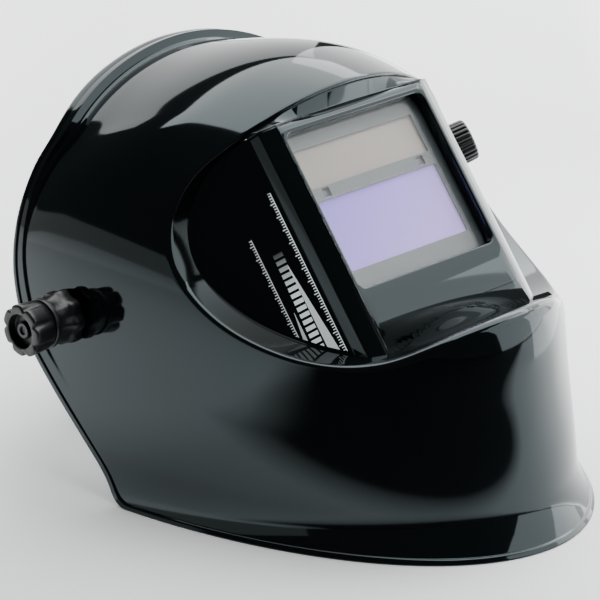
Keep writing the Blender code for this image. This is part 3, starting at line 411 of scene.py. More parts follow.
def nearest_length(points):
    """Length along the recess's line of the point nearest each of these, by dense sampling."""
    dense = np.linspace(0, line_length[-1], LINE_SAMPLES)
    flat = np.stack([points[:, 1], points[:, 2] - sill_rise(points[:, 0], points[:, 1])], -1)
    far = np.linalg.norm(flat[:, None] - line_at(dense)[None], axis=2)
    return dense[np.argmin(far, axis=1)]


edge_length = nearest_length(edge)
middle_length = nearest_length(np.array([SHEET_MIDDLE]))[0]


def sheet_points(share):
    """Sheet points on the way from the recess's edge, share 0, to the window's middle, share 1."""
    x = edge[:, 0] * (1 - share)
    flat = line_at(edge_length + (middle_length - edge_length) * share)
    return np.stack([x, flat[..., 0], flat[..., 1] + sill_rise(x, flat[..., 0])], -1)


reach_in = np.hypot(edge[:, 0], edge_length - middle_length)
shares = np.linspace(0, SHEET_REACH, SHEET_ROWS)[:, None] ** SHEET_CROWDING
first_share = (edge_round / reach_in)[None]
sheet_rows = sheet_points(first_share + (1 - first_share) * shares)
t = np.linspace(0, 1, ROUND_ROWS + 2)[1:-1][:, None, None]
corner = sheet_points(np.zeros((1, COLUMNS)))[0]
round_rows = ((1 - t) ** 2 * sheet_rows[0] + 2 * t * (1 - t) * corner + t ** 2 * dome_rows[0])
shell_rows = np.concatenate([sheet_rows[::-1], round_rows, dome_rows])
print("shell grid", shell_rows.shape[:2])

# %% [markdown]
# The window block's outline across the face: a flat front, a bevel, a steep side wall, and a side
# panel turned well back. Sheet faces that lie behind the block are left out, so that the sheet
# ends just inside it and the two make one wall.

# %% The window block's outline
WINDOW_Z, WINDOW_LEAN = 175, 38.5       # height of its middle, and degrees back from upright
WINDOW_TURN = math.radians(90 - WINDOW_LEAN)
WINDOW = Matrix.Translation((0, 0, WINDOW_Z)) @ Matrix.Rotation(WINDOW_TURN, 4, 'X')
UP_FACE = np.array([0, math.cos(WINDOW_TURN), math.sin(WINDOW_TURN)])
OUT_FACE = np.array([0, -math.sin(WINDOW_TURN), math.cos(WINDOW_TURN)])
FACE_HALF, BEVEL_HALF, BEVEL_DROP, WALL_HALF, WALL_DROP = 57.0, 65.5, 4.5, 67.5, 12.5
PANEL_TURN = math.radians(53.5)


def in_window(points):
    """Up and out coordinates of points in the window's own plane."""
    local = points - (0, 0, WINDOW_Z)
    return local @ UP_FACE, local @ OUT_FACE


def block_half_width(out):
    """Half width of the window block at a depth behind its face; below 0 before the face."""
    on_bevel = FACE_HALF + (BEVEL_HALF - FACE_HALF) * -out / BEVEL_DROP
    on_wall = (BEVEL_HALF
               + (WALL_HALF - BEVEL_HALF) * (-out - BEVEL_DROP) / (WALL_DROP - BEVEL_DROP))
    return np.select([out > 0, out > -BEVEL_DROP, out > -WALL_DROP], [-1.0, on_bevel, on_wall],
                     WALL_HALF + (-out - WALL_DROP) / math.tan(PANEL_TURN))


UNDER_BLOCK = 3.0                       # the sheet goes on under the block by this much
WALL = 3.0
_, shell_out = in_window(shell_rows)
hidden = np.abs(shell_rows[..., 0]) < block_half_width(shell_out) - UNDER_BLOCK
hidden[len(sheet_rows):] = False
faces = grid_faces(*shell_rows.shape[:2], wrap_columns=True)
keep = ~hidden.ravel()[faces].all(axis=1)
shell_skin = new_piece("shell_skin", shell_rows, faces[keep], "shell_gloss_black", "shell",
                       replaces=["shell"], smooth=70)


def give_wall(obj, thickness=WALL):
    """Thickens an open surface inwards, so that its outer side stays where it is."""
    wall = obj.modifiers.new("wall", "SOLIDIFY")
    wall.thickness = thickness * MM
    wall.offset = -1
    wall.use_even_offset = True
    wall.use_quality_normals = True


def face_outwards(obj, away_from):
    """Turns a mesh round if most of its faces look towards a point given in design millimetres."""
    heart = Vector((away_from[0], away_from[1] + SHIFT, away_from[2])) * MM
    mesh = obj.data
    total = sum(face.area * face.normal.dot(face.center - heart) for face in mesh.polygons)
    if total < 0:
        mesh.flip_normals()


def block_part(name, rows, away_from, wrap=False, thickness=WALL):
    """Part of the window block, from a grid in the window's plane, with a wall behind it."""
    part = new_piece(name, rows, grid_faces(*rows.shape[:2], wrap_columns=wrap),
                     "shell_gloss_black", "shell", place=WINDOW, smooth=40)
    face_outwards(part, away_from)
    give_wall(part, thickness)


face_outwards(shell_skin, HEART)
give_wall(shell_skin)
print("shell skin faces", len(shell_skin.data.polygons))

# %% [markdown]
# The window's face is a flat frame with a rounded hole. Each row of its grid is a closed loop with
# the same number of points, so a square loop and a round-cornered one join without a Boolean.

# %% Window face: a ring between the opening and the block's straight edges
OPENING = (106.5, 94.0, 5.0)            # width, height and corner radius
FACE_TOP, FACE_FOOT = 54.0, -88.0
OPENING_ROUND, ROUND_STEPS = 1.0, 6     # the small round on the opening's edge
SQUARE_CORNER = 0.02
OPENING_DEPTHS = (4.0, 6.6)             # rows down the opening's wall to just before the seat


def rounded_loop(width, height, radius, middle=(0.0, 0.0), corner_steps=8, side_steps=24):
    """Anticlockwise rectangle with round corners, with as many points for any size."""
    points = []
    for quarter, (sx, sy) in enumerate([(1, 1), (-1, 1), (-1, -1), (1, -1)]):
        a = np.linspace(0, math.pi / 2, corner_steps + 1) + quarter * math.pi / 2
        arc = np.stack([middle[0] + sx * (width / 2 - radius) + radius * np.cos(a),
                        middle[1] + sy * (height / 2 - radius) + radius * np.sin(a)], 1)
        points.append(arc)
    loop = []
    for k in range(4):
        a, b = points[k][-1], points[(k + 1) % 4][0]
        side = a + (b - a) * np.linspace(0, 1, side_steps + 1)[1:-1, None]
        loop += [points[k], side]
    return np.concatenate(loop)


def stack_loops(loops_and_heights):
    """Rows of a ring surface: each a flat loop lifted to its own height."""
    return np.array([np.column_stack([loop, np.full(len(loop), height)])
                     for loop, height in loops_and_heights])


face_middle = (0, (FACE_TOP + FACE_FOOT) / 2)
ring = [(rounded_loop(2 * FACE_HALF, FACE_TOP - FACE_FOOT, SQUARE_CORNER, face_middle), 0.0)]
for a in np.linspace(0, math.pi / 2, ROUND_STEPS):
    grow = 2 * OPENING_ROUND * (1 - math.sin(a))
    loop = rounded_loop(OPENING[0] + grow, OPENING[1] + grow, OPENING[2] + grow / 2)
    ring.append((loop, -OPENING_ROUND * (1 - math.cos(a))))
ring += [(rounded_loop(*OPENING), -depth) for depth in OPENING_DEPTHS]
block_part("window_face", stack_loops(ring), (0, 60, 120), wrap=True)
print("window face with", len(ring), "rows")

# %% [markdown]
# On each side the face turns over a bevel and a steep wall into a panel that leans far back. All
# three are one strip, so that light runs over the rounded corners without a seam. The panel is as
# wide, at each height, as it takes to reach the recess's sheet.

# %% Window sides: bevel, side wall and panel as one strip on each side
UPRIGHT_ROWS, PANEL_COLUMNS = 76, 25
FACE_OVERLAP, PANEL_START = 1.5, 3.0    # how far the strip reaches onto the face and the panel
CORNER_RADII = [1.2, 1.6, 1.0]


def rounded_profile(points, radii, steps=5):
    """Open outline whose inner corners are replaced by short curves of the given size."""
    p = np.array(points, float)
    out = [p[:1]]
    for k in range(1, len(p) - 1):
        before = p[k] + (p[k - 1] - p[k]) / np.linalg.norm(p[k - 1] - p[k]) * radii[k - 1]
        after = p[k] + (p[k + 1] - p[k]) / np.linalg.norm(p[k + 1] - p[k]) * radii[k - 1]
        s = np.linspace(0, 1, steps)[:, None]
        out.append((1 - s) ** 2 * before + 2 * s * (1 - s) * p[k] + s ** 2 * after)
    return np.concatenate(out + [p[-1:]])


# Where the sheet meets the panel, as a width along the panel for each height up the window.
probe_up, probe_out = in_window(np.column_stack([np.zeros(len(recess_line)), recess_line]))
panel_width_at = np.clip((-WALL_DROP - probe_out) / math.sin(PANEL_TURN), 0, None)
order = np.argsort(probe_up)
strip_ups = np.linspace(FACE_FOOT, FACE_TOP, UPRIGHT_ROWS)
panel_widths = np.interp(strip_ups, probe_up[order], panel_width_at[order]) + UNDER_BLOCK
on_panel = (WALL_HALF + PANEL_START, -WALL_DROP - PANEL_START * math.tan(PANEL_TURN))
corner_line = rounded_profile([(FACE_HALF - FACE_OVERLAP, 0), (FACE_HALF, 0),
                               (BEVEL_HALF, -BEVEL_DROP), (WALL_HALF, -WALL_DROP), on_panel],
                              CORNER_RADII)[:-1]
panel_share = np.linspace(0, 1, PANEL_COLUMNS + 1)[1:]
foot = corner_line[-1]
along_panel = np.array([math.cos(PANEL_TURN), -math.sin(PANEL_TURN)])
strip = np.concatenate([np.broadcast_to(corner_line, (UPRIGHT_ROWS, *corner_line.shape)),
                        foot + panel_widths[:, None, None] * panel_share[:, None] * along_panel], 1)
strip_heights = np.broadcast_to(strip_ups[:, None], strip.shape[:2])
strip_rows = np.stack([strip[..., 0], strip_heights, strip[..., 1]], -1)
HANDS = (1, "left"), (-1, "right")
for side, hand in HANDS:
    block_part("window_side_" + hand, strip_rows * (side, 1, 1), (0, 90, 120))
print("panel widths from", panel_widths.min().round(1), "to", panel_widths.max().round(1))

# %% [markdown]
# Above the window a short wall joins the block's top edge to the dome's edge. It is drawn between
# two lines that are already known, and starts a little before the first so that no gap shows.

# %% Brow: the wall between the block's top edge and the dome's edge above it
BROW_TUCK, BROW_WALL, BROW_START, BROW_ROWS = 1.6, 2.0, -0.06, 9
TOP_POINTS, UPPER_EDGE = 38, 200        # points along the face's top; least z of the edge above
top_corner = strip_rows[-1][:len(corner_line)]
top_half = FACE_HALF - FACE_OVERLAP
flat_top = np.stack([np.linspace(top_half, -top_half, TOP_POINTS + 2)[1:-1],
                     np.full(TOP_POINTS, FACE_TOP), np.zeros(TOP_POINTS)], 1)
top_line = np.concatenate([top_corner[::-1], flat_top, top_corner * (-1, 1, 1)])
upper_edge = edge[edge[:, 2] > UPPER_EDGE]
upper_edge = upper_edge[np.argsort(upper_edge[:, 0])]
edge_y = np.interp(top_line[:, 0], upper_edge[:, 0], upper_edge[:, 1]) + BROW_TUCK
edge_z = np.interp(top_line[:, 0], upper_edge[:, 0], upper_edge[:, 2]) - BROW_TUCK
brow_up, brow_out = in_window(np.stack([np.zeros(len(edge_y)), edge_y, edge_z], 1))
t = np.linspace(BROW_START, 1, BROW_ROWS)[:, None]
brow_rows = np.stack([np.broadcast_to(top_line[:, 0], (len(t), len(top_line))),
                      top_line[:, 1] + (brow_up - top_line[:, 1]) * t,
                      top_line[:, 2] + (brow_out - top_line[:, 2]) * t], -1)
block_part("window_brow", brow_rows, (0, 60, 150), thickness=BROW_WALL)
print("brow from", top_line[:, 0].min().round(1), "to", top_line[:, 0].max().round(1))

# %% [markdown]
# The side panels carry a printed film. Each film is a sheet laid 0.25 mm off its panel, as wide at
# each height as the panel is before it meets the recess, and its UV map is its own width and height
# in millimetres, so that the printed scales are drawn by formula.

# %% Printed films on the side panels
FILM_LIFT, FILM_GAP, FILM_START, LEAST_FILM = 0.25, 2.4, 1.6, 0.3
FILM_FOOT, FILM_TOP, FILM_ROWS, FILM_COLUMNS = -79, 50, 66, 30
film_ups = np.linspace(FILM_FOOT, FILM_TOP, FILM_ROWS)
film_widths = np.interp(film_ups, probe_up[order], panel_width_at[order]) - FILM_GAP
film_widths = np.clip(film_widths, LEAST_FILM, None)
film_across = FILM_START + (film_widths[:, None] - FILM_START) * np.linspace(0, 1, FILM_COLUMNS)
film_heights = np.broadcast_to(film_ups[:, None], film_across.shape)
off_panel = FILM_LIFT * np.array([math.sin(PANEL_TURN), math.cos(PANEL_TURN)])
film_flat = (WALL_HALF, -WALL_DROP) + film_across[..., None] * along_panel + off_panel
film_rows = np.stack([film_flat[..., 0], film_heights, film_flat[..., 1]], -1)
film_uv = np.stack([film_across, film_heights], -1).reshape(-1, 2)
for side, hand in HANDS:
    film = new_piece("printed_film_" + hand, film_rows * (side, 1, 1),
                     grid_faces(*film_rows.shape[:2]), "decal_black", "shell",
                     replaces=["decal_" + hand], place=WINDOW, uv=film_uv)
    face_outwards(film, (0, 90, 120))
print("films up to", film_across.max().round(1), "mm wide")

# %% [markdown]
# Knobs are surfaces of revolution whose radius also depends on the angle: lobes or flutes that fade
# in and out along the axis. Each takes its axis, length and radius from the CAD node it stands for.

# %% Lobed knobs
KNOB_COLUMNS, KNOB_STEPS, KNOB_MERGE = 168, 4, 0.01


def axis_extent(node, axis):
    """Start point, direction, length and greatest radius of a CAD node about an axis direction."""
    points = coordinates(frame["nodes"][node].data) / MM - (0, SHIFT, 0)
    axis = np.asarray(axis, float) / np.linalg.norm(axis)
    along = points @ axis
    across = points - along[:, None] * axis
    one = np.cross(axis, (0, 0, 1.0) if abs(axis[2]) < 0.9 else (1.0, 0, 0))
    one /= np.linalg.norm(one)
    two = np.cross(axis, one)
    middle = sum(0.5 * (np.max(across @ d) + np.min(across @ d)) * d for d in (one, two))
    radius = np.linalg.norm(across - middle, axis=1).max()
    return middle + along.min() * axis, (axis, one, two), along.max() - along.min(), radius


def cosine_lobes(angle, count):
    """Rounded bumps: 1 at each crest, 0 in each valley."""
    return 0.5 + 0.5 * np.cos(count * angle)


def narrow_flutes(angle, count, power=5):
    """Mostly 1, with narrow valleys down to 0."""
    return 1 - cosine_lobes(angle, count) ** power


def knob(name, body, axis, profile, count, shape=cosine_lobes, bore=False):
    """Lobed knob: radius(t, angle) = R (r(t) - d(t) (1 - lobe(angle))), over profile rows
    (t, r, d). With a bore, the last row joins the first; otherwise both ends lie on the axis."""
    start, (axis, one, two), length, radius = axis_extent(name, axis)
    rows = np.array(profile, float)
    dense = np.concatenate([rows[:1]] + [a + (b - a) * np.linspace(0, 1, KNOB_STEPS)[1:, None]
                                         for a, b in zip(rows[:-1], rows[1:])])
    angle = np.linspace(0, 2 * math.pi, KNOB_COLUMNS, endpoint=False)
    r = radius * (dense[:, 1:2] - dense[:, 2:3] * (1 - shape(angle, count)))
    ring = np.cos(angle)[None, :, None] * one + np.sin(angle)[None, :, None] * two
    points = start + dense[:, 0][:, None, None] * length * axis + r[..., None] * ring
    faces = grid_faces(*points.shape[:2], wrap_rows=bore, wrap_columns=True)
    return new_piece(name + "_fine", points, faces, "knob_black", body, replaces=[name],
                     smooth=38, merge=KNOB_MERGE)


TENSION = [(0, 0, 0), (0, 0.86, 0), (0.03, 0.9, 0.01), (0.1, 0.93, 0.03), (0.55, 0.97, 0.08),
           (0.86, 1, 0.14), (0.94, 0.99, 0.15), (0.985, 0.95, 0.15), (1, 0.9, 0.13),
           (1, 0.7, 0.03), (0.985, 0.66, 0), (0.7, 0.62, 0), (0.68, 0.6, 0), (0.68, 0.34, 0),
           (0.69, 0.32, 0), (0.86, 0.3, 0), (0.88, 0.28, 0), (0.88, 0.17, 0), (0.86, 0.15, 0),
           (0.8, 0.14, 0), (0.8, 0, 0)]
COLLAR = [(0, 0.3, 0), (0, 0.97, 0.13), (0.02, 0.99, 0.13), (0.05, 1, 0.13), (0.24, 1, 0.13),
          (0.33, 0.98, 0.12), (0.42, 0.92, 0.09), (0.58, 0.86, 0.05), (0.72, 0.83, 0.02),
          (0.8, 0.82, 0), (0.83, 0.86, 0), (0.86, 0.89, 0), (0.97, 0.89, 0), (0.99, 0.88, 0),
          (1, 0.86, 0), (1, 0.3, 0)]
SHADE = [(0.32, 0, 0), (0.32, 0.66, 0), (0, 0.68, 0), (0, 0.93, 0), (0.02, 0.97, 0), (0.05, 1, 0),
         (0.12, 1, 0), (0.15, 1, 0.07), (0.86, 0.97, 0.07), (0.92, 0.96, 0.06),
         (0.96, 0.93, 0.04), (0.985, 0.9, 0.02), (1, 0.85, 0), (1, 0, 0)]
RATCHET = [(0, 0, 0), (0, 0.9, 0), (0.03, 0.95, 0.02), (0.08, 1, 0.09), (0.7, 1, 0.1),
           (0.82, 0.98, 0.09), (0.92, 0.93, 0.06), (0.98, 0.86, 0.02), (1, 0.78, 0), (1, 0.5, 0),
           (0.93, 0.44, 0), (0.93, 0, 0)]
HEAD_REARWARD = (0.0, 0.829, -0.559)
PANEL_OUTWARD = (math.sin(PANEL_TURN), *(math.cos(PANEL_TURN) * OUT_FACE[1:]))
TENSION_FLUTES, COLLAR_LOBES, SHADE_FLUTES, RATCHET_LOBES = 7, 8, 24, 12
made = []
for side, hand in HANDS:
    tension, collar = "tension_knob_" + hand, "distance_collar_" + hand
    made += [knob(tension, tension, (side, 0, 0), TENSION, TENSION_FLUTES, narrow_flutes),
             knob(collar, collar, (side, 0, 0), COLLAR, COLLAR_LOBES, bore=True)]
made += [knob("shade_knob", "shade_knob", PANEL_OUTWARD, SHADE, SHADE_FLUTES, narrow_flutes),
         knob("ratchet_knob", "ratchet", HEAD_REARWARD, RATCHET, RATCHET_LOBES)]
print(len(made), "knobs remade")

# %% [markdown]
# The pads are foam in a knitted cover. Each starts as its CAD solid, is remeshed finely and swollen
# a little as cloth under pressure, and is held to a small movement so that it stays in place.

# %% Soft pads
PAD_VOXEL, PAD_SWELL, PAD_FILL = 2.2, 1.3, 0.7
CLOTH_FRAMES, CLOTH_PRESSURE = 20, 4.0


def swollen(node, body):
    """Pillowed copy of a CAD pad: voxel remesh, then a short cloth run under pressure."""
    obj = linked(node + "_soft", frame["nodes"][node].data.copy())
    remesh = obj.modifiers.new("remesh", "REMESH")
    remesh.mode, remesh.voxel_size = "VOXEL", PAD_VOXEL * MM
    graph = bpy.context.evaluated_depsgraph_get()
    graph.update()
    obj.data = bpy.data.meshes.new_from_object(obj.evaluated_get(graph))
    obj.modifiers.clear()
    rest = coordinates(obj.data)
    cloth = obj.modifiers.new("cloth", "CLOTH")
    cloth.settings.use_pressure = True
    cloth.settings.uniform_pressure_force = CLOTH_PRESSURE
    cloth.settings.effector_weights.gravity = 0.0
    cloth.point_cache.frame_start, cloth.point_cache.frame_end = 1, CLOTH_FRAMES
    for step in range(1, CLOTH_FRAMES + 1):
        bpy.context.scene.frame_set(step)
    graph = bpy.context.evaluated_depsgraph_get()
    puffed = bpy.data.meshes.new_from_object(obj.evaluated_get(graph))
    obj.modifiers.clear()
    bpy.context.scene.frame_set(1)
    move = coordinates(puffed) - rest
    size = np.linalg.norm(move, axis=1, keepdims=True)
    move *= np.minimum(1, PAD_SWELL * MM / np.maximum(size, 1e-9))
    obj.data.vertices.foreach_set("co", (rest + move).ravel())
    obj.data.update()
    smooth = obj.modifiers.new("soften", "SMOOTH")
    smooth.factor, smooth.iterations = 0.5, 4
    subdivide = obj.modifiers.new("fine", "SUBSURF")
    subdivide.levels = subdivide.render_levels = 1
    obj.data.shade_smooth()
    obj["finish"] = "pad_fabric"
    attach(obj, body)
    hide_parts(node)
    return obj


bodies = frame["record"]["behaviour"]["bodies"]
body_of = {node: name for name, nodes in bodies.items() for node in nodes}
for pad in ("sweatband", "nape_pad", "crown_pad"):
    made = swollen(pad, body_of[pad])
    print(made.name, len(made.data.vertices), "points")

# %% [markdown]
# Shader maths is written as expressions: Value wraps a socket, so that adding or multiplying two of
# them adds the Math node. Colours go through Mix nodes.

# %% Expressions on shader sockets
class Value:
    """A number or vector inside one material's node tree."""

    def __init__(self, tree, socket):
        self.tree, self.socket = tree, socket

    def node(self, kind, output=0, settings=None, **inputs):
        """Adds a node; settings are set first, then its inputs, whose names use _ for a space."""
        made = self.tree.nodes.new(kind)
        for key, value in (settings or {}).items():
            setattr(made, key, value)
        for key, value in inputs.items():
            at = int(key[1:]) if key[0] == "i" and key[1:].isdigit() else key.replace("_", " ")
            self.join(made.inputs[at], value)
        return Value(self.tree, made.outputs[output])

    def join(self, target, value):
        if isinstance(value, Value):
            self.tree.links.new(value.socket, target)
        else:
            target.default_value = value

    def math(self, operation, *values):
        inputs = {"i%d" % k: value for k, value in enumerate(values)}
        return self.node("ShaderNodeMath", settings={"operation": operation}, **inputs)

    def __add__(self, other): return self.math("ADD", self, other)
    def __radd__(self, other): return self.math("ADD", other, self)
    def __sub__(self, other): return self.math("SUBTRACT", self, other)
    def __rsub__(self, other): return self.math("SUBTRACT", other, self)
    def __mul__(self, other): return self.math("MULTIPLY", self, other)
    def __rmul__(self, other): return self.math("MULTIPLY", other, self)
    def __truediv__(self, other): return self.math("DIVIDE", self, other)
    def __mod__(self, other): return self.math("FLOORED_MODULO", self, other)
    def above(self, edge): return self.math("GREATER_THAN", self, edge)
    def below(self, edge): return self.math("LESS_THAN", self, edge)
    def between(self, low, high): return self.above(low) * self.below(high)
    def size(self): return self.math("ABSOLUTE", self)
    def sine(self): return self.math("SINE", self)
    def clamp(self): return self.math("MINIMUM", self.math("MAXIMUM", self, 0.0), 1.0)

    def ramp(self, low, high):
        """0 below low, 1 above high, and straight between the two."""
        return self.node("ShaderNodeMapRange", Value=self, From_Min=low, From_Max=high)

    def colour(self, low, high):
        """The colour low where this is 0, high where it is 1."""
        return self.node("ShaderNodeMix", output=2, settings={"data_type": "RGBA"},
                         i0=self, i6=(*low, 1), i7=(*high, 1))

    def parts(self):
        made = self.tree.nodes.new("ShaderNodeSeparateXYZ")
        self.tree.links.new(self.socket, made.inputs[0])
        return [Value(self.tree, socket) for socket in made.outputs]

    def noise(self, scale, detail=3.0):
        return self.node("ShaderNodeTexNoise", Vector=self, Scale=scale, Detail=detail)

    def bump(self, strength, distance):
        """A normal whose height is this value times distance, in metres."""
        return self.node("ShaderNodeBump", Height=self, Strength=strength, Distance=distance)


def material(name, paint, **constants):
    """A Principled material; paint(place, uv) returns the sockets that vary over the surface."""
    made = bpy.data.materials.new(name)
    made.use_nodes = True
    tree = made.node_tree
    shader = tree.nodes["Principled BSDF"]
    texture = tree.nodes.new("ShaderNodeTexCoord")
    place, uv = Value(tree, texture.outputs["Object"]), Value(tree, texture.outputs["UV"])
    for key, value in paint(place, uv).items():
        place.join(shader.inputs[key.replace("_", " ")], value)
    for key, value in constants.items():
        shader.inputs[key.replace("_", " ")].default_value = value
    return made


# %% [markdown]
# The plastics differ mostly in their gloss. The shell is polished and shows only faint wiping
# marks; the knobs and the headgear come from a spark-eroded mould, whose fine grain dulls them.

# %% Plastics: gloss shell, moulded knobs and headgear
SHELL_DARK, SHELL_LIGHT = (0.0022, 0.003, 0.0035), (0.0035, 0.0045, 0.005)


def gloss(place, uv):
    """Polished shell: hardly uneven, with faint wiping marks that show only in the gloss."""
    wipe = place.noise(18.0)
    waves = place.noise(9.0, 1.0)
    return {"Base_Color": wipe.ramp(0.3, 0.8).colour(SHELL_DARK, SHELL_LIGHT),
            "Roughness": 0.045 + 0.03 * wipe, "Normal": waves.bump(0.06, 0.002)}


def moulded(low, high, rough, grain=900.0, depth=0.00012):
    """Spark-eroded plastic: a fine grain in the bump and a slow drift in colour and roughness."""
    def paint(place, uv):
        fine, slow = place.noise(grain, 4.0), place.noise(25.0)
        return {"Base_Color": slow.ramp(0.3, 0.7).colour(low, high),
                "Roughness": rough + 0.12 * slow, "Normal": fine.bump(0.35, depth)}
    return paint


MOULDED = {  # slot: darker colour, lighter colour, roughness, then a finer or coarser grain
    "knob_black": ((0.0045, 0.0055, 0.006), (0.007, 0.008, 0.009), 0.26),
    "headgear_black": ((0.016, 0.017, 0.019), (0.024, 0.025, 0.027), 0.42),
    "washer_nylon": ((0.56, 0.53, 0.46), (0.66, 0.63, 0.56), 0.38),
    "wire_black": ((0.010, 0.010, 0.011), (0.018, 0.018, 0.019), 0.50, 1500.0),
    "cartridge_grey": ((0.085, 0.105, 0.112), (0.105, 0.125, 0.132), 0.42, 700.0, 0.00003)}
finish = {"shell_gloss_black": material("shell_gloss_black", gloss, IOR=1.5,
                                        Specular_Tint=(0.78, 0.96, 1.0, 1))}
for slot, look in MOULDED.items():
    finish[slot] = material(slot, moulded(*look))
print(len(finish), "plastics")

# %% [markdown]
# The window's stack. Heights up the window are worked out from the Object coordinates, so that the
# gradients lie along the glass.

# %% Glass, cells, board and metal
TO_MM = 1000.0
LINE_PITCH, LINE_WIDTH = 5.6, 0.14      # the thin cell's collector lines
TRACKS_PER_METRE, TRACK_SHARE = 400.0, 0.28
LOOPS = 5200.0                          # radians of the terry's loops to a metre


def up_window(place):
    """Distances up the window's plane and across it from its middle, in millimetres."""
    x, y, z = place.parts()
    up = (y - SHIFT * MM) * float(UP_FACE[1]) + (z - WINDOW_Z * MM) * float(UP_FACE[2])
    return up * TO_MM, x * TO_MM


def filter_glass(place, uv):
    up, across = up_window(place)
    # Lighter towards its lower corner at +x; the same share drives the emission, a painted glow, as
    # the filter is no lamp.
    tint_and_glow = (((across - up * 1.2) / 110.0 + 0.42).clamp() + 0.05 * place.noise(30.0)).clamp()
    return {"Base_Color": tint_and_glow.colour((0.19, 0.12, 0.62), (0.32, 0.22, 0.70)),
            "Emission_Color": tint_and_glow.colour((0.50, 0.38, 1.0), (0.68, 0.54, 1.0))}


def thin_cell(place, uv):
    up, across = up_window(place)
    slope = (0.5 + (across + up) / 130.0 + 0.25 * (place.noise(14.0) - 0.5)).clamp()
    stripe = (up % LINE_PITCH).below(LINE_WIDTH) * 0.25
    lined = (slope - stripe).clamp()
    return {"Base_Color": lined.colour((0.235, 0.205, 0.175), (0.36, 0.32, 0.29)),
            "Roughness": 0.22 + 0.2 * place.noise(60.0)}


def tinted(place, uv):
    return {"Base_Color": place.noise(80.0).colour((0.07, 0.08, 0.085), (0.11, 0.12, 0.125)),
            "Roughness": 0.12 + 0.1 * place.noise(200.0)}


def clear(place, uv):
    return {"Roughness": 0.02 + 0.04 * place.noise(20.0)}


def board(place, uv):
    x = place.parts()[0]
    tracks = ((x * TRACKS_PER_METRE) % 1.0).below(TRACK_SHARE) * place.noise(90.0).above(0.5)
    return {"Base_Color": tracks.colour((0.012, 0.10, 0.04), (0.03, 0.22, 0.09)),
            "Roughness": 0.35 + 0.2 * place.noise(300.0), "Normal": tracks.bump(0.4, 0.0001)}


def plated(place, uv):
    brushed = place.noise(700.0, 5.0)
    return {"Base_Color": place.noise(30.0).colour((0.52, 0.52, 0.51), (0.66, 0.66, 0.64)),
            "Roughness": 0.22 + 0.16 * brushed, "Normal": brushed.bump(0.12, 0.0001)}


def terry(place, uv):
    """Knitted terry: rows of loops a little over 1 mm apart, broken up by noise."""
    x, y, z = place.parts()
    ribs = (x * LOOPS).sine() * ((z + y * 0.6) * LOOPS).sine()
    fuzz = place.noise(1400.0, 4.0)
    cloth = ribs * 0.5 + fuzz
    return {"Base_Color": cloth.ramp(0.1, 1.1).colour((0.012, 0.012, 0.014), (0.045, 0.045, 0.050)),
            "Roughness": 0.85 + 0.1 * fuzz, "Normal": cloth.bump(0.8, 0.0006)}


LOOKS = {  # slot: how it is painted, and the values that are the same all over it
    # The filter glass's emission is a painted glow.
    "filter_lavender": (filter_glass, dict(Roughness=0.25, Emission_Strength=0.36,
                                           Specular_IOR_Level=0.25)),
    "solar_cell": (thin_cell, {}),
    "sensor_dark": (tinted, {}),
    "clear_lens": (clear, dict(Base_Color=(1, 1, 1, 1), Metallic=1.0, Alpha=0.03)),
    "board_green": (board, {}),
    "steel": (plated, dict(Metallic=1.0)),
    "pad_fabric": (terry, dict(Sheen_Weight=0.3))}
for slot, (paint, constants) in LOOKS.items():
    finish[slot] = material(slot, paint, **constants)
print(len(finish), "finishes")

# %% [markdown]
# The printed film: three tick scales, a ladder of blocks that fades out at its top, and two light
# wedges, in the film's own millimetres, u across from the window and v up. No lettering.

# %% Printed graphics
PRINT_FOOT = -74.0                      # the ladder and both wedges start at this height
TICK_PITCH, TICK_SHARE, LONGER = 1.55, 0.34, 1.6
SPINE_WIDTH, LONG_EVERY = 0.45, 5
LADDER_TOP, LADDER_HALF, BLOCK_PITCH, BLOCK_HEIGHT = -8.0, 2.8, 3.9, 2.4
WEDGE_TOP, LOW_WEDGE_TOP = -18.0, -42.0


def printed(place, uv):
    u, v, _ = uv.parts()

    def scale(at, low, high, length):
        """Ticks from u = at outwards, one each pitch, every so many of them longer."""
        tick = (v % TICK_PITCH).below(TICK_PITCH * TICK_SHARE)
        longer = (v % (TICK_PITCH * LONG_EVERY)).below(TICK_PITCH * TICK_SHARE)
        reach = tick * u.between(at, at + length) + longer * u.between(at, at + length * LONGER)
        spine = u.between(at - SPINE_WIDTH, at)
        return (reach + spine).clamp() * v.between(low, high)

    def slanted(from_u, to_u, high):
        """u measured from a line that leans from one place to another, from the foot up."""
        return u - (from_u + (v - PRINT_FOOT) * ((to_u - from_u) / (high - PRINT_FOOT)))

    def wedge(from_u, to_u, high, point, widening):
        """A light shape about such a line, wide at its foot and nearly a point at its top."""
        half = point + widening * (1 - v.ramp(PRINT_FOOT, high))
        return slanted(from_u, to_u, high).size().below(half) * v.between(PRINT_FOOT, high)

    blocks = (slanted(15.5, 13.5, LADDER_TOP).size().below(LADDER_HALF)
              * (v % BLOCK_PITCH).below(BLOCK_HEIGHT) * v.between(PRINT_FOOT, LADDER_TOP))
    blocks = blocks * (1 - v.ramp(-34.0, LADDER_TOP))
    ink_and_glow = (scale(2.6, -78.0, 22.0, 1.6) + scale(23.5, -62.0, 4.0, 1.4) * 0.7
           + scale(29.5, -68.0, -50.0, 1.6) * 0.8 + blocks
           + wedge(8.3, 11.2, WEDGE_TOP, 0.2, 2.7) * 0.8
           + wedge(21.5, 19.5, LOW_WEDGE_TOP, 0.1, 2.0) * 0.6).clamp()
    # The light ink is real print; its emission is a painted glow on top of it.
    return {"Base_Color": ink_and_glow.colour((0.002, 0.0023, 0.003), (0.80, 0.86, 0.86)),
            "Emission_Color": ink_and_glow.colour((0.0, 0.0, 0.0), (0.80, 0.88, 0.88)),
            "Roughness": 0.09 + 0.05 * place.noise(60.0) + 0.15 * ink_and_glow}


# Strength of the print's painted glow.
finish["decal_black"] = material("decal_black", printed, Emission_Strength=0.42)

# %% [markdown]
# New pieces carry the name of their finish. A node shown as the CAD made it takes the finish that
# the record names for it, so that nothing is left without one.

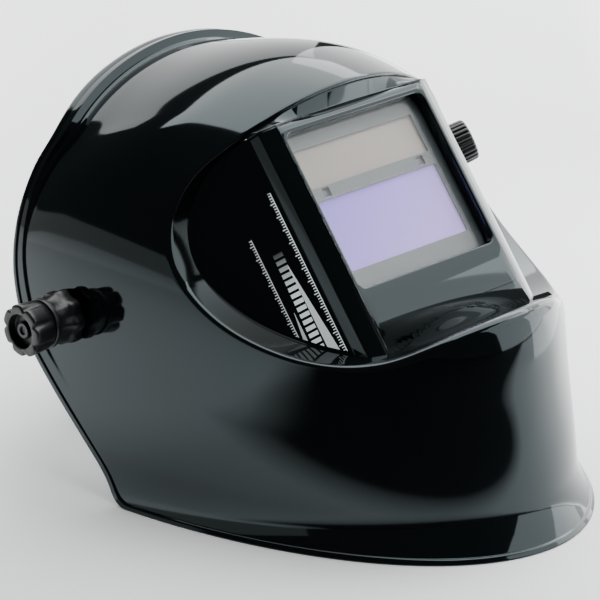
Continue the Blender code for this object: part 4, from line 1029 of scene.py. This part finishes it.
# %% Every piece and every carried-over node gets its finish
slot_of = {row["node"]: row["material_slot"] for row in frame["record"]["subparts"]}
painted = 0
for obj in bpy.data.objects:
    if obj.type != "MESH":
        continue
    slot = obj.get("finish") or slot_of.get(obj.get("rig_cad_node"))
    if slot is None:
        continue
    obj.data.materials.clear()
    obj.data.materials.append(finish[slot])
    painted += 1
print(painted, "meshes painted")

# %% [markdown]
# The stage: a pale floor with painted shade on it, dark from a little before the object on, where
# only the shell's chin mirrors it, and six lamps in a dark room. The floor also glows, a painted
# light:
# a little all over, so that its far parts stay white between the lamps, and more to its left and
# right. Black gloss shows only what it mirrors, so each lamp is placed for the part of the shell
# that mirrors it.

# %% Stage and lights
FLOOR_HALF = 3.0
TO_VIEWER = (-0.7014, -0.7127)          # towards the viewer on the floor; the side is square to it
SHADOW_START = 0.088                    # metres from the middle to where the dark part is measured
corners = [(x * FLOOR_HALF, y * FLOOR_HALF, 0) for x, y in ((-1, -1), (1, -1), (1, 1), (-1, 1))]
floor_mesh = bpy.data.meshes.new("floor")
floor_mesh.from_pydata(corners, [], [(0, 1, 2, 3)])
floor = linked("floor", floor_mesh)


def pale_floor(place, uv):
    """Painted shade and light: dark from a little before the object on, pale again to its left and
    to its right, and glowing a little where pale, more to the left and most to the right.
    """
    x, y, _ = place.parts()
    front = (x * TO_VIEWER[0] + y * TO_VIEWER[1]) - SHADOW_START
    aside = x * TO_VIEWER[1] + y * -TO_VIEWER[0]
    left = (aside - 0.55 * front).ramp(0.0, 0.14) * aside.ramp(0.17, 0.28)
    right = (0 - aside).ramp(0.20, 0.30) * (0.4 * aside - front).ramp(0.0, 0.12)
    pale = place.math("MAXIMUM", 1 - front.ramp(0.13, 0.22), place.math("MAXIMUM", left, right))
    # Painted light: the floor's emission, which the gloss shell mirrors.
    glow = (pale * 0.10 + left * 0.20 + right * 0.9).clamp()
    mottled = (pale + 0.01 * place.noise(4.0)).clamp()
    return {"Base_Color": mottled.colour((0.012, 0.012, 0.013), (0.93, 0.94, 0.95)),
            "Emission_Color": glow.colour((0.0, 0.0, 0.0), (1.0, 1.0, 1.0))}


floor_mesh.materials.append(material("pale_floor", pale_floor, Roughness=0.9,
                                     Specular_IOR_Level=0.1, Emission_Strength=1.6))
room = bpy.data.worlds.new("room")
bpy.context.scene.world = room
room.use_nodes = True
ROOM_COLOUR = (0.045, 0.052, 0.055, 1)
room.node_tree.nodes["Background"].inputs[0].default_value = ROOM_COLOUR


def soft_box(name, place, width, height, glow, aim):
    """A rectangular lamp whose face is as bright as glow times white, turned to a point."""
    lamp = bpy.data.lights.new(name, "AREA")
    lamp.shape = "RECTANGLE"
    lamp.size, lamp.size_y = width, height
    lamp.energy = glow * math.pi * width * height
    obj = linked(name, lamp)
    obj.location = place
    if aim:
        obj.rotation_euler = (Vector(place) - Vector(aim)).to_track_quat("Z", "Y").to_euler()


HELMET = (0.0, 0.0, 0.12)
LAMPS = [  # name, place, width, height, glow, and the point it faces; with none, straight down
    ("top_box", (0.85, 0.40, 1.5), 2.3, 2.2, 4.6, None),
    ("front_box", (1.05, -0.95, 0.72), 2.0, 1.5, 2.6, HELMET),
    ("side_box", (1.45, 0.45, 0.65), 1.4, 1.4, 3.2, HELMET),
    ("back_box", (0.75, 1.55, 0.60), 1.4, 1.1, 2.0, HELMET),
    ("left_card", (-1.25, 0.75, 0.08), 2.6, 0.32, 0.45, (0.0, 0.0, 0.08)),
    ("low_card", (0.44, -0.16, 0.17), 0.55, 0.34, 3.0, (0.0, -0.05, 0.17))]
for lamp in LAMPS:
    soft_box(*lamp)
print("lamps:", [lamp.name for lamp in bpy.data.lights])
